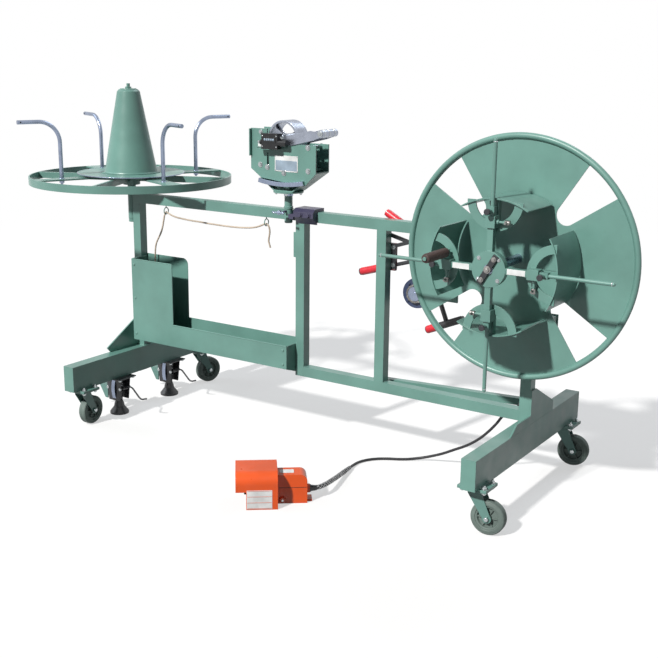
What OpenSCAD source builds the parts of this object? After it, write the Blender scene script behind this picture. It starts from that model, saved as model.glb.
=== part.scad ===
/* [Frame] */
// Length of the top rail
frame_len = 1778; // [1600:1:1950]
// Side of the square frame tube
tube = 38; // [34:1:42]
// Wall of the square frame tube
tube_wall = 3; // [2:0.5:4]
// Height of the top rail's underside above the floor
rail_z = 864; // [840:1:900]
// Distance from the left end of the top rail to the head upright
head_upright_x = 818; // [760:1:860]
// Distance from the left end of the top rail to the middle upright
mid_upright_x = 1168; // [1120:1:1200]
// Gap between the tops of the legs and the underside of the bottom rail
low_rail_lift = 6; // [2:1:20]
// Side of the square tube of the rear brace
brace_tube = 25; // [20:1:30]
// Distance from the back of the frame to the left end of the rear brace
brace_left_gap = 20; // [12:1:30]
// Distance from the back of the frame to the right end of the rear brace
brace_right_gap = 98; // [80:1:120]

/* [Legs] */
// Length of a floor leg
leg_len = 864; // [800:1:960]
// Width of a leg tube
leg_w = 51; // [46:1:58]
// Height of a leg tube
leg_h = 102; // [90:1:110]
// Wall of a leg tube
leg_wall = 3; // [2:0.5:5]
// Thickness of a gusset plate
gusset_t = 6; // [4:1:8]
// Height of a gusset plate above the leg
gusset_h = 118; // [90:1:140]
// Reach of a gusset plate in front of and behind the upright
gusset_reach = 158; // [130:1:180]

/* [Casters] */
// Diameter of a caster wheel
wheel_d = 114; // [100:1:118]
// Width of a caster wheel
wheel_w = 32; // [26:1:36]
// Height from the floor to the underside of the legs
caster_h = 160; // [158:1:175]
// Offset of a wheel's axle from its kingpin
caster_trail = 42; // [34:1:48]
// Distance of a caster's kingpin from the frame's mid plane
caster_spread = 360; // [330:1:380]
// Diameter of a kingpin
kingpin_d = 12; // [10:1:14]

/* [Floor locks] */
// Distance of the front floor lock from the frame's mid plane
lock_front = 160; // [140:1:180]
// Distance of the rear floor lock from the frame's mid plane
lock_rear = 150; // [130:1:170]
// Diameter of a floor lock's pad
lock_pad_d = 78; // [66:1:84]
// Diameter of a floor lock's stem
lock_stem_d = 20; // [16:1:24]
// Travel of a floor lock's pad
lock_travel = 25; // [15:1:26]

/* [Turntable] */
// Outer radius of the turntable ring
table_r = 408; // [380:1:430]
// Height of the ring
table_h = 30; // [24:1:36]
// Height of the ring's lower edge above the top rail
table_lift = 42; // [36:1:60]
// Diameter of the turntable's spindle
spindle_d = 24; // [20:1:28]
// Radius of the hub disc
disc_r = 216; // [190:1:235]
// Diameter of the cone at its foot
cone_foot_d = 212; // [190:1:230]
// Diameter of the cone at its top
cone_top_d = 91; // [80:1:110]
// Height of the cone
cone_h = 331; // [300:1:360]
// Diameter of the guide post rod
post_d = 16; // [14:1:18]
// Distance of a guide post from the spindle
post_r = 297; // [275:1:310]
// Height of a guide post above the spokes
post_h = 231; // [200:1:260]
// Reach of a guide post's arm
post_reach = 166; // [150:1:190]

/* [Measuring head] */
// Width of the head's plates
head_w = 288; // [270:1:300]
// Height of the head's plates
head_h = 148; // [140:1:160]
// Depth over the head's plates
head_d = 86; // [80:1:96]
// Thickness of a head plate
head_plate_t = 5; // [4:1:6]
// Height of the bottom of the plates above the top rail
head_lift = 98; // [92:1:110]
// Diameter of the measuring wheel
meter_d = 130; // [120:1:134]
// Width of the measuring wheel
meter_w = 68; // [60:1:70]
// Diameter of the head's post
post_tube_d = 28; // [26:1:32]
// How far the head can be raised
head_travel = 40; // [20:1:50]

/* [Reel] */
// Radius of the reel's flange over its rim
flange_r = 393; // [370:1:400]
// Thickness of the flange plate
flange_t = 4; // [3:1:6]
// Diameter of the rim tube
rim_d = 20; // [16:1:24]
// Distance of the flange in front of the frame
flange_gap = 116; // [100:1:130]
// Distance of the reel's axis below the top of the end upright
reel_drop = 19; // [18:1:24]
// Diameter of the reel's shaft
shaft_d = 30; // [25:1:32]
// Distance of the arms' mid plane in front of the frame
arm_plane = 326; // [305:1:345]
// Side of an arm's square tube
arm_tube = 19; // [18:1:22]
// Diameter of a retaining rod
rod_d = 12; // [11:1:13]
// Distance of a retaining rod's tip from the axis
rod_reach = 388; // [360:1:392]
// Radius of the drum over its shoes
drum_r = 211; // [202:1:230]
// Half of the angle that a shoe spans, in degrees
shoe_angle = 31; // [26:1:33]
// Thickness of a shoe
shoe_t = 4; // [3:1:5]

/* [Drive] */
// Radius of the motor
motor_r = 54; // [50:1:58]
// Length of the motor
motor_len = 180; // [150:1:200]
// Distance of the motor's axis from the reel's axis, along the frame
motor_left = 474; // [460:1:490]
// Distance of the motor's axis below the reel's axis
motor_drop = 212; // [200:1:222]
// Pitch of the drive chain
chain_pitch = 12.7; // [12:0.1:13]
// Teeth on the reel's sprocket
reel_teeth = 31; // [28:1:32]
// Teeth on the motor's sprocket
motor_teeth = 15; // [13:1:17]

/* [Twine box] */
// Width of the twine box
box_w = 217; // [200:1:240]
// Height of the twine box's front above the tray's lower edge
box_front_h = 339; // [300:1:360]
// Height of the tray's front
tray_h = 89; // [70:1:110]
// Reach of the tray in front of the frame
tray_reach = 59; // [50:1:60]
// Thickness of the sheet metal
sheet_t = 2; // [1.5:0.5:3]

/* [Foot switch] */
// Length of the foot switch's hood in front of its switch case
hood_len = 140; // [120:1:160]
// Width of the hood
hood_w = 164; // [150:1:180]
// Height of the hood
hood_h = 125; // [115:1:135]
// Length of the switch case
case_len = 100; // [90:1:115]
// Width of the switch case
case_w = 68; // [60:1:80]

/* [Fits] */
// Radial clearance of a running fit
fit = 0.05; // [0.02:0.01:0.1]
// Gap between pieces that move past each other
gap = 0.3; // [0.3:0.1:0.5]

/* [Hidden] */
$fn = 48;

// Overrun of every cut
over = 1;
// Colours of the paint and the bare parts
sage = [0.43, 0.63, 0.56];
steel = [0.6, 0.64, 0.7];
silver = [0.8, 0.81, 0.83];
black = [0.12, 0.12, 0.14];
dark_red = [0.45, 0.08, 0.12];
navy = [0.2, 0.25, 0.38];
grey_wheel = [0.45, 0.52, 0.5];
orange = [0.9, 0.32, 0.12];
tan_twine = [0.82, 0.74, 0.64];

// Heights and places of the frame's members
mid_y = tube / 2;
leg_z = caster_h;
leg_top = leg_z + leg_h;
low_z = leg_top + low_rail_lift;
rail_top = rail_z + tube;
right_x = frame_len - tube;
leg_front = mid_y - leg_len / 2;
leg_back = mid_y + leg_len / 2;
left_leg_x = tube / 2;
right_leg_x = right_x + tube / 2;

// Turntable
table_x = -20;
table_z = rail_top + table_lift;
table_top = table_z + table_h;
table_band = 6;
spoke_turn = 68;
spoke_w = 60;
spoke_t = 6;
bar_w = 12;
bar_h = 25;
table_hub_d = 70;
spindle_rod_d = 16;
housing_d = 34;
housing_gap = 9;
housing_below = 69;
housing_top = table_z - housing_gap;
housing_bottom = rail_z - housing_below;
disc_t = 3;
disc_lift = 8;
disc_top = table_top + disc_lift + disc_t;
cone_sheet = 2;
cone_lip = 12;
cone_top_z = disc_top + cone_h;
stud_d = 14;
stud_h = 13;
post_bend = 82;
post_tip_r = post_r + post_reach;

// Casters: kingpin places and the headings of the wheels behind them
caster_places = [
  [right_leg_x, mid_y - caster_spread], [right_leg_x, mid_y + caster_spread],
  [left_leg_x, mid_y - caster_spread], [left_leg_x, mid_y + caster_spread]
];
caster_headings = [5, 10, 95, 70];
mount_plate = [100, 85, 6];
caster_plate_t = 4;
caster_bolt_x = 38;
caster_bolt_y = 30;
bolt_d = 8;
bolt_head_d = 14;
bolt_head_h = 5;
race_d = 60;
race_h = 6;
fork_disc_d = 56;
fork_t = 5;
cheek_t = 3;
cheek_w = 48;
cheek_end_r = 15;
wheel_gap = 2;
axle_d = 10;
axle_head_d = 18;
axle_head_h = 5;
kingpin_nut_d = 22;
kingpin_nut_h = 9;
plate_low = leg_z - mount_plate[2] - caster_plate_t;
fork_top = plate_low - race_h - gap;
wheel_r = wheel_d / 2;
tread_round = 5;

// Reel
reel_x = right_leg_x;
reel_z = rail_z - reel_drop;
flange_y = -flange_gap;
arm_y = -arm_plane;
slot_r = 32;
slot_start = 212;
slot_taper = 12;
boss_r = 45;
boss_len = 40;
hub_r = 55;
hub_t = 22;
arm_wall = 2.5;
collar_r1 = 125;
collar_len = 36;
collar_wall = 6;
arm_end_r = 163;
arm_end_len = 25;
rod_start = 95;
rod_travel = 35;
shoe_travel = 28;
shoe_front = arm_y + arm_tube / 2 + gap;
shoe_flange_gap = 10;
shoe_back = flange_y - flange_t - shoe_flange_gap;
brace_band = 27;
brace_r = 77;
brace_t = 5;
brace_centre = drum_r - shoe_t - brace_t;
stay_tube = 20;
latch_len = 101;
latch_w = 18;
latch_t = 8;
latch_turn = 59;
latch_pin_d = 12;
latch_back = arm_y - hub_t / 2 - gap;
knob_d = 16;
knob_h = 12;
lock_screw_d = 8;
lock_screw_len = 30;
spinner_x = 146;
spinner_z = 35;
spinner_pin_d = 10;
spinner_d = 30;
spinner_len = 135;
spinner_plate_t = 6;

// Shaft, bearings, sprockets and chain
bearing_len = 30;
bearing_d = 64;
bearing_plate_t = 8;
bearing_bolt = 44;
bearing_lug_w = 26;
sprocket_t = 6;
chain_w = 8;
chain_t = 8;
chain_y = 73;
sprocket_y = chain_y + (chain_w - sprocket_t) / 2;
reel_sprocket_r = reel_teeth * chain_pitch / (2 * PI);
motor_sprocket_r = motor_teeth * chain_pitch / (2 * PI);
motor_x = reel_x - motor_left;
motor_z = reel_z - motor_drop;
motor_face_gap = 7;
motor_y = sprocket_y + sprocket_t + motor_face_gap;
motor_shaft_d = 14;
chain_span = norm([motor_left, motor_drop]);
chain_turn = atan2(motor_drop, motor_left);

// Measuring head
head_left = 161;
head_x = head_upright_x - head_left;
head_front = -58;
head_z = rail_top + head_lift;
head_top = head_z + head_h;
head_back = head_front + head_d;
head_inner = head_d - 2 * head_plate_t;
meter_share = 0.479;
meter_rise = 17;
meter_x = head_x + head_w * meter_share;
meter_z = head_top + meter_rise;
meter_axle_d = 12;
post_shift = 1;
post_x = meter_x + post_shift;
post_y = -15;
post_rod_d = 22;
pan_drop = 25;
pan_disc_t = 6;

// Foot switch: place of the case's back end and the heading of its hood
foot_x = 1176;
foot_y = -440;
foot_turn = 218;
foot_len = case_len + hood_len;

// The whole object is set over the centre of its own footprint
post_tip_turn = 90 - spoke_turn;
post_tip_x = post_tip_r * cos(post_tip_turn) + post_d / 2 * sin(post_tip_turn);
caster_y = [for (i = [0:3]) caster_places[i][1] + (caster_trail + wheel_r) * sin(caster_headings[i])
  + (wheel_w / 2 - tread_round) * abs(cos(caster_headings[i]))];
x_low = table_x - post_tip_x;
x_high = reel_x + flange_r;
y_low = foot_y + foot_len * sin(foot_turn) + hood_w / 2 * cos(foot_turn);
y_high = max(max(caster_y), mid_y + post_tip_x);
home = [-(x_low + x_high) / 2, -(y_low + y_high) / 2, 0];

// Route of the tie twine, from its hook on the box to its hanging end
twine_d = 6;
twine_route = [
  [97, 19, 624], [98, 19, 645], [99, 19, 666], [101, 19, 682], [104, 19, 696], [110, 19, 710],
  [118, 19, 724], [127, 19, 738], [135, 19, 752], [141, 19, 768], [146, 19, 786], [151, 19, 806],
  [156, 19, 824], [165, 19, 836], [178, 19, 831], [198, 19, 824], [221, 19, 819], [244, 19, 817],
  [268, 19, 815], [304, 19, 813], [341, 19, 812], [379, 19, 810], [417, 19, 809], [458, 19, 808],
  [500, 19, 808], [541, 19, 809], [570, 19, 811], [599, 19, 814], [622, 19, 819], [642, 19, 826],
  [656, 19, 832], [669, 19, 835], [678, 19, 829], [683, 19, 817], [684, 19, 802], [681, 19, 786],
  [679, 19, 770], [683, 19, 757], [687, 19, 745]
];

// Route of the foot switch's cable, from its gland to the control box
cable_d = 10;
grip_d = 15;
grip_route = [
  [1186, -432, 40], [1197, -421, 40], [1204, -406, 39], [1206, -386, 38], [1204, -360, 35],
  [1198, -328, 31], [1188, -282, 25], [1177, -234, 19], [1166, -184, 14], [1156, -135, 10]
];
cable_route = [
  [1156, -135, 10], [1150, -98, 7], [1150, -62, 6], [1164, -26, 6], [1190, 6, 6], [1222, 29, 6],
  [1259, 49, 6], [1288, 68, 7], [1313, 86, 10], [1338, 96, 16], [1363, 100, 25], [1408, 98, 45],
  [1458, 90, 73], [1518, 78, 108], [1568, 68, 146], [1608, 60, 186], [1638, 54, 222],
  [1656, 50, 248], [1676, 46, 270], [1698, 46, 284], [1714, 48, 298], [1724, 54, 318],
  [1729, 62, 344], [1733, 72, 376], [1735, 78, 404], [1735, 78, 435]
];
twine_ref = [0, 1, 0];
cable_ref = [1, -1, 0];
cord_sides = 8;

// A hollow square or oblong tube: low corner, size, wall and the number of its long axis
module hollow(low, size, wall, axis) {
  difference() {
    translate(low) cube(size);
    translate([for (i = [0:2]) low[i] + (i == axis ? -over : wall)])
      cube([for (i = [0:2]) size[i] + (i == axis ? 2 * over : -2 * wall)]);
  }
}

module block(low, size) {
  translate(low) cube(size);
}

module rod_x(d, len, at) {
  translate(at) rotate([0, 90, 0]) cylinder(d = d, h = len);
}

module rod_y(d, len, at) {
  translate(at) rotate([-90, 0, 0]) cylinder(d = d, h = len);
}

module rod_z(d, len, at) {
  translate(at) cylinder(d = d, h = len);
}

module hex_z(d, len, at) {
  translate(at) cylinder(d = d, h = len, $fn = 6);
}

module hex_y(d, len, at) {
  translate(at) rotate([-90, 0, 0]) cylinder(d = d, h = len, $fn = 6);
}

// A plate upright along the frame, its outline given as points of x and z
module plate_xz(points, y, t) {
  translate([0, y + t, 0]) rotate([90, 0, 0]) linear_extrude(t) polygon(points);
}

// A plate upright across the frame, its outline given as points of y and z
module plate_yz(points, x, t) {
  translate([x, 0, 0]) rotate([90, 0, 90]) linear_extrude(t) polygon(points);
}

// A round bar that starts along +x and turns in the xy plane: steps of length and turn
module bent_bar(d, bend, steps, i = 0) {
  if (i < len(steps)) {
    straight = steps[i][0];
    turn = steps[i][1];
    side = turn < 0 ? 1 : 0;
    rotate([0, 90, 0]) cylinder(d = d, h = straight);
    translate([straight, 0, 0]) mirror([0, side, 0]) {
      if (turn != 0)
        translate([0, bend, 0]) rotate([0, 0, -90]) rotate_extrude(angle = abs(turn))
          translate([bend, 0]) circle(d = d);
      translate([bend * sin(abs(turn)), bend * (1 - cos(turn)), 0]) rotate([0, 0, abs(turn)])
        mirror([0, side, 0]) bent_bar(d, bend, steps, i + 1);
    }
  }
}

function unit(v) = v / norm(v);
function heading(route, i) =
  unit(route[min(i + 1, len(route) - 1)] - route[max(i - 1, 0)]);
function ring(route, i, r, ref) =
  let (t = heading(route, i), a = unit(cross(t, ref)), b = cross(t, a))
  [for (k = [0:cord_sides - 1]) route[i] + r * (a * cos(360 * k / cord_sides)
    + b * sin(360 * k / cord_sides))];

// A round tube swept along a route, as one closed skin of triangles
module swept(route, d, ref) {
  n = len(route);
  s = cord_sides;
  points = [for (i = [0:n - 1]) each ring(route, i, d / 2, ref)];
  side_faces = [for (i = [0:n - 2]) for (k = [0:s - 1])
    let (a = i * s + k, b = i * s + (k + 1) % s)
    each [[a, a + s, b], [b, a + s, b + s]]];
  start_faces = [for (k = [1:s - 2]) [0, k, k + 1]];
  end_faces = [for (k = [1:s - 2]) [(n - 1) * s, (n - 1) * s + k + 1, (n - 1) * s + k]];
  polyhedron(points, concat(side_faces, start_faces, end_faces));
}

// Frame

cap_t = 4;
cap_flange = 2;
eye_d = 4;
eye_r = 13;
eye_drop = 23;
eye_places = [165, 669];

module twine_eye(x) {
  translate([x, mid_y, rail_z - eye_drop]) {
    rotate([0, 90, 0]) rotate_extrude() translate([eye_r, 0]) circle(d = eye_d);
    rod_z(eye_d, eye_drop - eye_r, [0, 0, eye_r]);
  }
}

module top_rail() color(sage) translate(home) {
  hollow([0, 0, rail_z], [frame_len, tube, tube], tube_wall, 0);
  block([0, tube_wall, rail_z + tube_wall], [cap_t, tube - 2 * tube_wall, tube - 2 * tube_wall]);
  block([frame_len - cap_t, tube_wall, rail_z + tube_wall],
    [cap_t, tube - 2 * tube_wall, tube - 2 * tube_wall]);
  block([frame_len, 0, rail_z], [cap_flange, tube, tube]);
  for (x = eye_places) twine_eye(x);
}

tab_w = 14;
tab_t = 6;
tab_h = 94;
tab_drop = 139;
tab_z = rail_z - tab_drop;

module uprights() color(sage) translate(home) {
  hollow([0, 0, leg_top], [tube, tube, rail_z - leg_top], tube_wall, 2);
  hollow([head_upright_x, 0, low_z], [tube, tube, rail_z - low_z], tube_wall, 2);
  block([head_upright_x + tube_wall, tube_wall, low_z],
    [tube - 2 * tube_wall, tube - 2 * tube_wall, cap_t]);
  block([head_upright_x - tab_w, tab_t, tab_z], [tab_w, tab_t, tab_h]);
  hollow([mid_upright_x, 0, low_z + tube], [tube, tube, rail_z - low_z - tube], tube_wall, 2);
  difference() {
    hollow([right_x, 0, leg_top], [tube, tube, rail_z - leg_top], tube_wall, 2);
    rod_y(shaft_d + over, tube + 2 * over, [reel_x, -over, reel_z]);
  }
}

brace_lift = 16;
brace_z = leg_top + brace_lift;
brace_x = 1175;
brace_turn = atan2(brace_right_gap - brace_left_gap, frame_len - brace_x);
brace_len = (frame_len - brace_x) / cos(brace_turn) + 2 * brace_tube;

module bottom_rails() color(sage) translate(home) {
  low_x = head_upright_x + tube;
  hollow([low_x, 0, low_z], [right_x - low_x, tube, tube], tube_wall, 0);
  intersection() {
    union() {
      translate([brace_x, tube + brace_left_gap, brace_z]) rotate([0, 0, brace_turn])
        block([-brace_tube, 0, 0], [brace_len, brace_tube, brace_tube]);
      block([brace_x, tube, brace_z], [brace_tube, brace_left_gap + tube_wall, brace_tube]);
    }
    block([brace_x, tube, brace_z], [frame_len - brace_x, leg_len, brace_tube]);
  }
}

module mount_pad(place) {
  difference() {
    translate([place[0] - mount_plate[0] / 2, place[1] - mount_plate[1] / 2, leg_z - mount_plate[2]])
      cube(mount_plate);
    for (sx = [-1, 1], sy = [-1, 1])
      rod_z(bolt_d + over, mount_plate[2] + 2 * over,
        [place[0] + sx * caster_bolt_x, place[1] + sy * caster_bolt_y, leg_z - mount_plate[2] - over]);
  }
}

module leg_tube(x, k) {
  hollow([x - leg_w / 2, leg_front + cap_t, leg_z], [leg_w, leg_len - 2 * cap_t, leg_h], leg_wall, 1);
  block([x - leg_w / 2, leg_front, leg_z], [leg_w, cap_t, leg_h]);
  block([x - leg_w / 2, leg_back - cap_t, leg_z], [leg_w, cap_t, leg_h]);
  mount_pad(caster_places[k]);
  mount_pad(caster_places[k + 1]);
}

gusset_toe = 20;
gusset_tip = 19;
gusset_apex = 20;
gusset_back_toe = 35;
gusset_step_h = 31;
gusset_step_run = 48;
gusset_drop = 9;

module left_leg() color(sage) translate(home) {
  leg_tube(left_leg_x, 2);
  plate_yz([
    [-gusset_reach, leg_top], [-gusset_reach - gusset_tip, leg_top + gusset_toe],
    [-gusset_apex, leg_top + gusset_h - gusset_drop], [0, leg_top + gusset_h],
    [tube, leg_top + gusset_h], [tube + gusset_apex, leg_top + gusset_h - gusset_drop],
    [tube + gusset_reach + gusset_tip, leg_top + gusset_toe], [tube + gusset_reach, leg_top]
  ], -gusset_t, gusset_t);
}

module right_leg() color(sage) translate(home) {
  leg_tube(right_leg_x, 0);
  plate_yz([
    [-gusset_reach, leg_top], [gusset_step_run - gusset_reach, leg_top + gusset_step_h],
    [0, leg_top + gusset_step_h], [0, leg_top + gusset_h], [tube, leg_top + gusset_h],
    [tube + gusset_reach, leg_top + gusset_back_toe], [tube + gusset_reach, leg_top]
  ], frame_len, gusset_t);
}

// Twine box and tray, folded from sheet

box_lift = 35;
box_back_h = 10;
tray_back_h = 16;
tray_rise = 33;
box_corner_r = 26;
box_back_more = 3;
hook_d = 5;
hook_x = 97;
hook_z = 24;

module twine_box() color(sage) translate(home) {
  left = tube;
  right = head_upright_x;
  low = low_z + box_lift;
  floor_back = low - tray_rise;
  box_top = low + box_front_h;
  tray_top = low + tray_h;
  split = left + box_w;
  plate_xz([[left, low], [right, low], [right, tray_top], [split, tray_top], [split, box_top],
    [left, box_top]], -tray_reach, sheet_t);
  plate_xz([[left, floor_back], [right, floor_back], [right, tray_top + tray_back_h],
    [split + box_back_more, tray_top + tray_back_h],
    [split + box_back_more, box_top + box_back_h - box_corner_r],
    [split + box_back_more - box_corner_r, box_top + box_back_h], [left, box_top + box_back_h]],
    tube - sheet_t, sheet_t);
  rod_y(2 * box_corner_r, sheet_t, [split + box_back_more - box_corner_r, tube - sheet_t,
    box_top + box_back_h - box_corner_r]);
  plate_yz([[-tray_reach, low], [tube, floor_back], [tube, box_top], [-tray_reach, box_top]],
    left, sheet_t);
  plate_yz([[-tray_reach, low], [tube, floor_back], [tube, tray_top], [-tray_reach, tray_top]],
    right - sheet_t, sheet_t);
  plate_yz([[-tray_reach, low], [tube, floor_back], [tube, floor_back + sheet_t],
    [-tray_reach, low + sheet_t]], left, right - left);
  rod_y(hook_d, tube / 2, [hook_x, tube / 2 - sheet_t, box_top - hook_z]);
}

module tie_twine() color(tan_twine) translate(home) swept(twine_route, twine_d, twine_ref);

// Turntable

pad_w = 18;
collar_h = 14;
collar_d = 32;

module spindle_housing() color(sage) translate(home) difference() {
  union() {
    rod_z(housing_d, housing_top - housing_bottom, [table_x, mid_y, housing_bottom]);
    block([table_x, mid_y - pad_w / 2, housing_bottom + collar_h],
      [-table_x, pad_w, rail_top - housing_bottom - 2 * collar_h]);
  }
  rod_z(spindle_d + 2 * fit, housing_top - housing_bottom + 2 * over,
    [table_x, mid_y, housing_bottom - over]);
}

module table_ring() color(sage) translate(home) translate([table_x, mid_y, 0]) {
  difference() {
    rod_z(2 * table_r, table_h, [0, 0, table_z]);
    rod_z(2 * (table_r - table_band), table_h + 2 * over, [0, 0, table_z - over]);
  }
  for (k = [0:3]) rotate([0, 0, spoke_turn + 90 * k]) {
    block([0, -spoke_w / 2, table_top - spoke_t], [table_r - table_band / 2, spoke_w, spoke_t]);
    rotate([0, 0, 45]) block([0, -bar_w / 2, table_top - bar_h],
      [table_r - table_band / 2, bar_w, bar_h]);
  }
  rod_z(table_hub_d, table_top - housing_top - gap, [0, 0, housing_top + gap]);
  rod_z(spindle_d, housing_top - housing_bottom + collar_h + over,
    [0, 0, housing_bottom - collar_h]);
  rod_z(collar_d, collar_h - gap, [0, 0, housing_bottom - collar_h]);
  rod_z(spindle_rod_d, cone_top_z + cone_nut_h - table_top, [0, 0, table_top]);
  rod_z(stud_d, stud_h, [0, 0, cone_top_z + cone_nut_h]);
}

disc_hub_d = 100;

module hub_disc() color(sage) translate(home) translate([table_x, mid_y, 0]) difference() {
  union() {
    rod_z(disc_hub_d, disc_lift, [0, 0, table_top]);
    rod_z(2 * disc_r, disc_t, [0, 0, table_top + disc_lift]);
  }
  rod_z(spindle_rod_d + 2 * fit, disc_lift + disc_t + 2 * over, [0, 0, table_top - over]);
}

cone_round = 8;
cone_nut_d = 26;
cone_nut_h = 10;

module centre_cone() color(sage) translate(home) translate([table_x, mid_y, disc_top]) {
  foot = cone_foot_d / 2;
  top = cone_top_d / 2;
  bore = spindle_rod_d / 2 + fit;
  rotate_extrude() polygon([
    [foot - cone_sheet, 0], [foot + cone_lip, 0], [foot + cone_lip, cone_sheet],
    [foot, cone_sheet], [top, cone_h - cone_round], [top - cone_round, cone_h],
    [bore, cone_h], [bore, cone_h - cone_sheet], [top - cone_round, cone_h - cone_sheet],
    [top - cone_sheet, cone_h - cone_round]
  ]);
  difference() {
    hex_z(cone_nut_d, cone_nut_h, [0, 0, cone_h]);
    rod_z(spindle_rod_d + 2 * fit, cone_nut_h + 2 * over, [0, 0, cone_h - over]);
  }
}

module guide_posts() color(steel) translate(home) translate([table_x, mid_y, table_top])
  for (k = [0:3]) rotate([0, 0, spoke_turn + 90 * k]) translate([post_r, 0, 0])
    rotate([90, 0, 0]) rotate([0, 0, 90])
      bent_bar(post_d, post_bend, [[post_h - post_d / 2 - post_bend, -90], [post_reach - post_bend, 0]]);

// Casters

module caster_plate(place) translate([place[0], place[1], 0]) {
  block([-mount_plate[0] / 2, -mount_plate[1] / 2, plate_low],
    [mount_plate[0], mount_plate[1], caster_plate_t]);
  rod_z(race_d, race_h, [0, 0, plate_low - race_h]);
  rod_z(kingpin_d, race_h + fork_t + 2 * gap + over, [0, 0, fork_top - fork_t - gap - over]);
  hex_z(kingpin_nut_d, kingpin_nut_h, [0, 0, fork_top - fork_t - gap - kingpin_nut_h]);
  for (sx = [-1, 1], sy = [-1, 1]) translate([sx * caster_bolt_x, sy * caster_bolt_y, 0]) {
    rod_z(bolt_d, leg_z - plate_low + over, [0, 0, plate_low]);
    hex_z(bolt_head_d, bolt_head_h, [0, 0, leg_z]);
    hex_z(bolt_head_d, bolt_head_h, [0, 0, plate_low - bolt_head_h]);
  }
}

module caster_plates() color(sage) translate(home) for (p = caster_places) caster_plate(p);

module caster_fork(k) color(sage) translate(home)
  translate([caster_places[k][0], caster_places[k][1], 0]) rotate([0, 0, caster_headings[k]]) {
    inner = wheel_w / 2 + wheel_gap;
    low = fork_top - fork_t;
    difference() {
      union() {
        rod_z(fork_disc_d, fork_t, [0, 0, low]);
        block([-cheek_w / 2, -inner - cheek_t, low], [cheek_w, 2 * (inner + cheek_t), fork_t]);
      }
      rod_z(kingpin_d + 2 * fit, fork_t + 2 * over, [0, 0, low - over]);
    }
    for (s = [-1, 1]) translate([0, s * (inner + cheek_t / 2) - cheek_t / 2, 0]) {
      plate_xz([[-cheek_w / 2, fork_top], [cheek_w / 2, fork_top], [cheek_w / 2, low - fork_t],
        [caster_trail + cheek_end_r, wheel_r], [caster_trail - cheek_end_r, wheel_r],
        [-cheek_w / 2, low - fork_t]], 0, cheek_t);
      rod_y(2 * cheek_end_r, cheek_t, [caster_trail, 0, wheel_r]);
    }
    rod_y(axle_d, 2 * inner + 2 * cheek_t, [caster_trail, -inner - cheek_t, wheel_r]);
    hex_y(axle_head_d, axle_head_h, [caster_trail, -inner - cheek_t - axle_head_h, wheel_r]);
    hex_y(axle_head_d, axle_head_h, [caster_trail, inner + cheek_t, wheel_r]);
  }

wheel_rim_r = 40;
wheel_dish = 5;
wheel_hub_r = 14;

module caster_wheel(k) color(grey_wheel) translate(home)
  translate([caster_places[k][0], caster_places[k][1], wheel_r]) rotate([0, 0, caster_headings[k]])
    translate([caster_trail, 0, 0]) rotate([90, 0, 0]) {
      half = wheel_w / 2;
      bore = axle_d / 2 + fit;
      rotate_extrude() polygon([
        [bore, -half - wheel_gap / 2], [wheel_hub_r, -half - wheel_gap / 2],
        [wheel_hub_r, wheel_dish - half], [wheel_rim_r, wheel_dish - half], [wheel_rim_r, -half],
        [wheel_r - tread_round, -half], [wheel_r, tread_round - half],
        [wheel_r, half - tread_round], [wheel_r - tread_round, half], [wheel_rim_r, half],
        [wheel_rim_r, half - wheel_dish], [wheel_hub_r, half - wheel_dish],
        [wheel_hub_r, half + wheel_gap / 2], [bore, half + wheel_gap / 2]
      ]);
    }

// Floor locks

lock_places = [mid_y - lock_front, mid_y + lock_rear];
lock_plate = [110, 96, 4];
lock_cheek_y = 24;
lock_cheek_top = 42;
lock_cheek_low = 30;
lock_cheek_z = 60;
lock_guide_d = 30;
lock_pin_x = 34;
lock_pin_z = 112;
lock_pin_d = 8;
lock_boss_d = 14;
lock_plate_z = leg_z - lock_plate[2];
lock_stop = 3;
lock_stem_top = lock_plate_z - lock_travel - lock_stop;

module lock_housings() color(black) translate(home) for (y = lock_places)
  translate([left_leg_x, y, 0]) {
    difference() {
      union() {
        block([-lock_plate[0] / 2, -lock_plate[1] / 2, lock_plate_z], lock_plate);
        for (s = [-1, 1])
          plate_xz([[-lock_cheek_top, lock_plate_z], [lock_cheek_top, lock_plate_z],
            [lock_cheek_low, lock_cheek_z], [-lock_cheek_low, lock_cheek_z]],
            s * (lock_cheek_y + cheek_t / 2) - cheek_t / 2, cheek_t);
        rod_z(lock_guide_d, lock_plate_z - lock_cheek_z, [0, 0, lock_cheek_z]);
        for (s = [-1, 1])
          rod_y(lock_pin_d, 2 * lock_cheek_y + 2 * cheek_t,
            [s * lock_pin_x, -lock_cheek_y - cheek_t, lock_pin_z]);
        for (s = [-1, 1])
          block([-lock_guide_d / 2, s * lock_guide_d / 2 - (s < 0 ? lock_cheek_y - lock_guide_d / 2 : 0),
            lock_cheek_z], [cheek_t, lock_cheek_y - lock_guide_d / 2, lock_cheek_z / 2]);
      }
      rod_z(lock_stem_d + 2 * fit, lock_plate_z - lock_cheek_z + over, [0, 0, lock_cheek_z - over]);
    }
  }

lock_foot_h = 8;
lock_neck_r = 22;
lock_neck_z = 30;

module lock_pad(k) color(black) translate(home) translate([left_leg_x, lock_places[k], 0])
  rotate_extrude() polygon([
    [0, 0], [lock_pad_d / 2, 0], [lock_pad_d / 2, lock_foot_h], [lock_neck_r, lock_neck_z],
    [lock_stem_d / 2, lock_neck_z], [lock_stem_d / 2, lock_stem_top], [0, lock_stem_top]
  ]);

pedal_t = 4;
pedal_w = 44;
pedal_out = 116;
pedal_fall = 24;
pedal_knee = 50;
pedal_web_x = 22;
pedal_web_z = 50;
pedal_web_w = 14;

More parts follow.
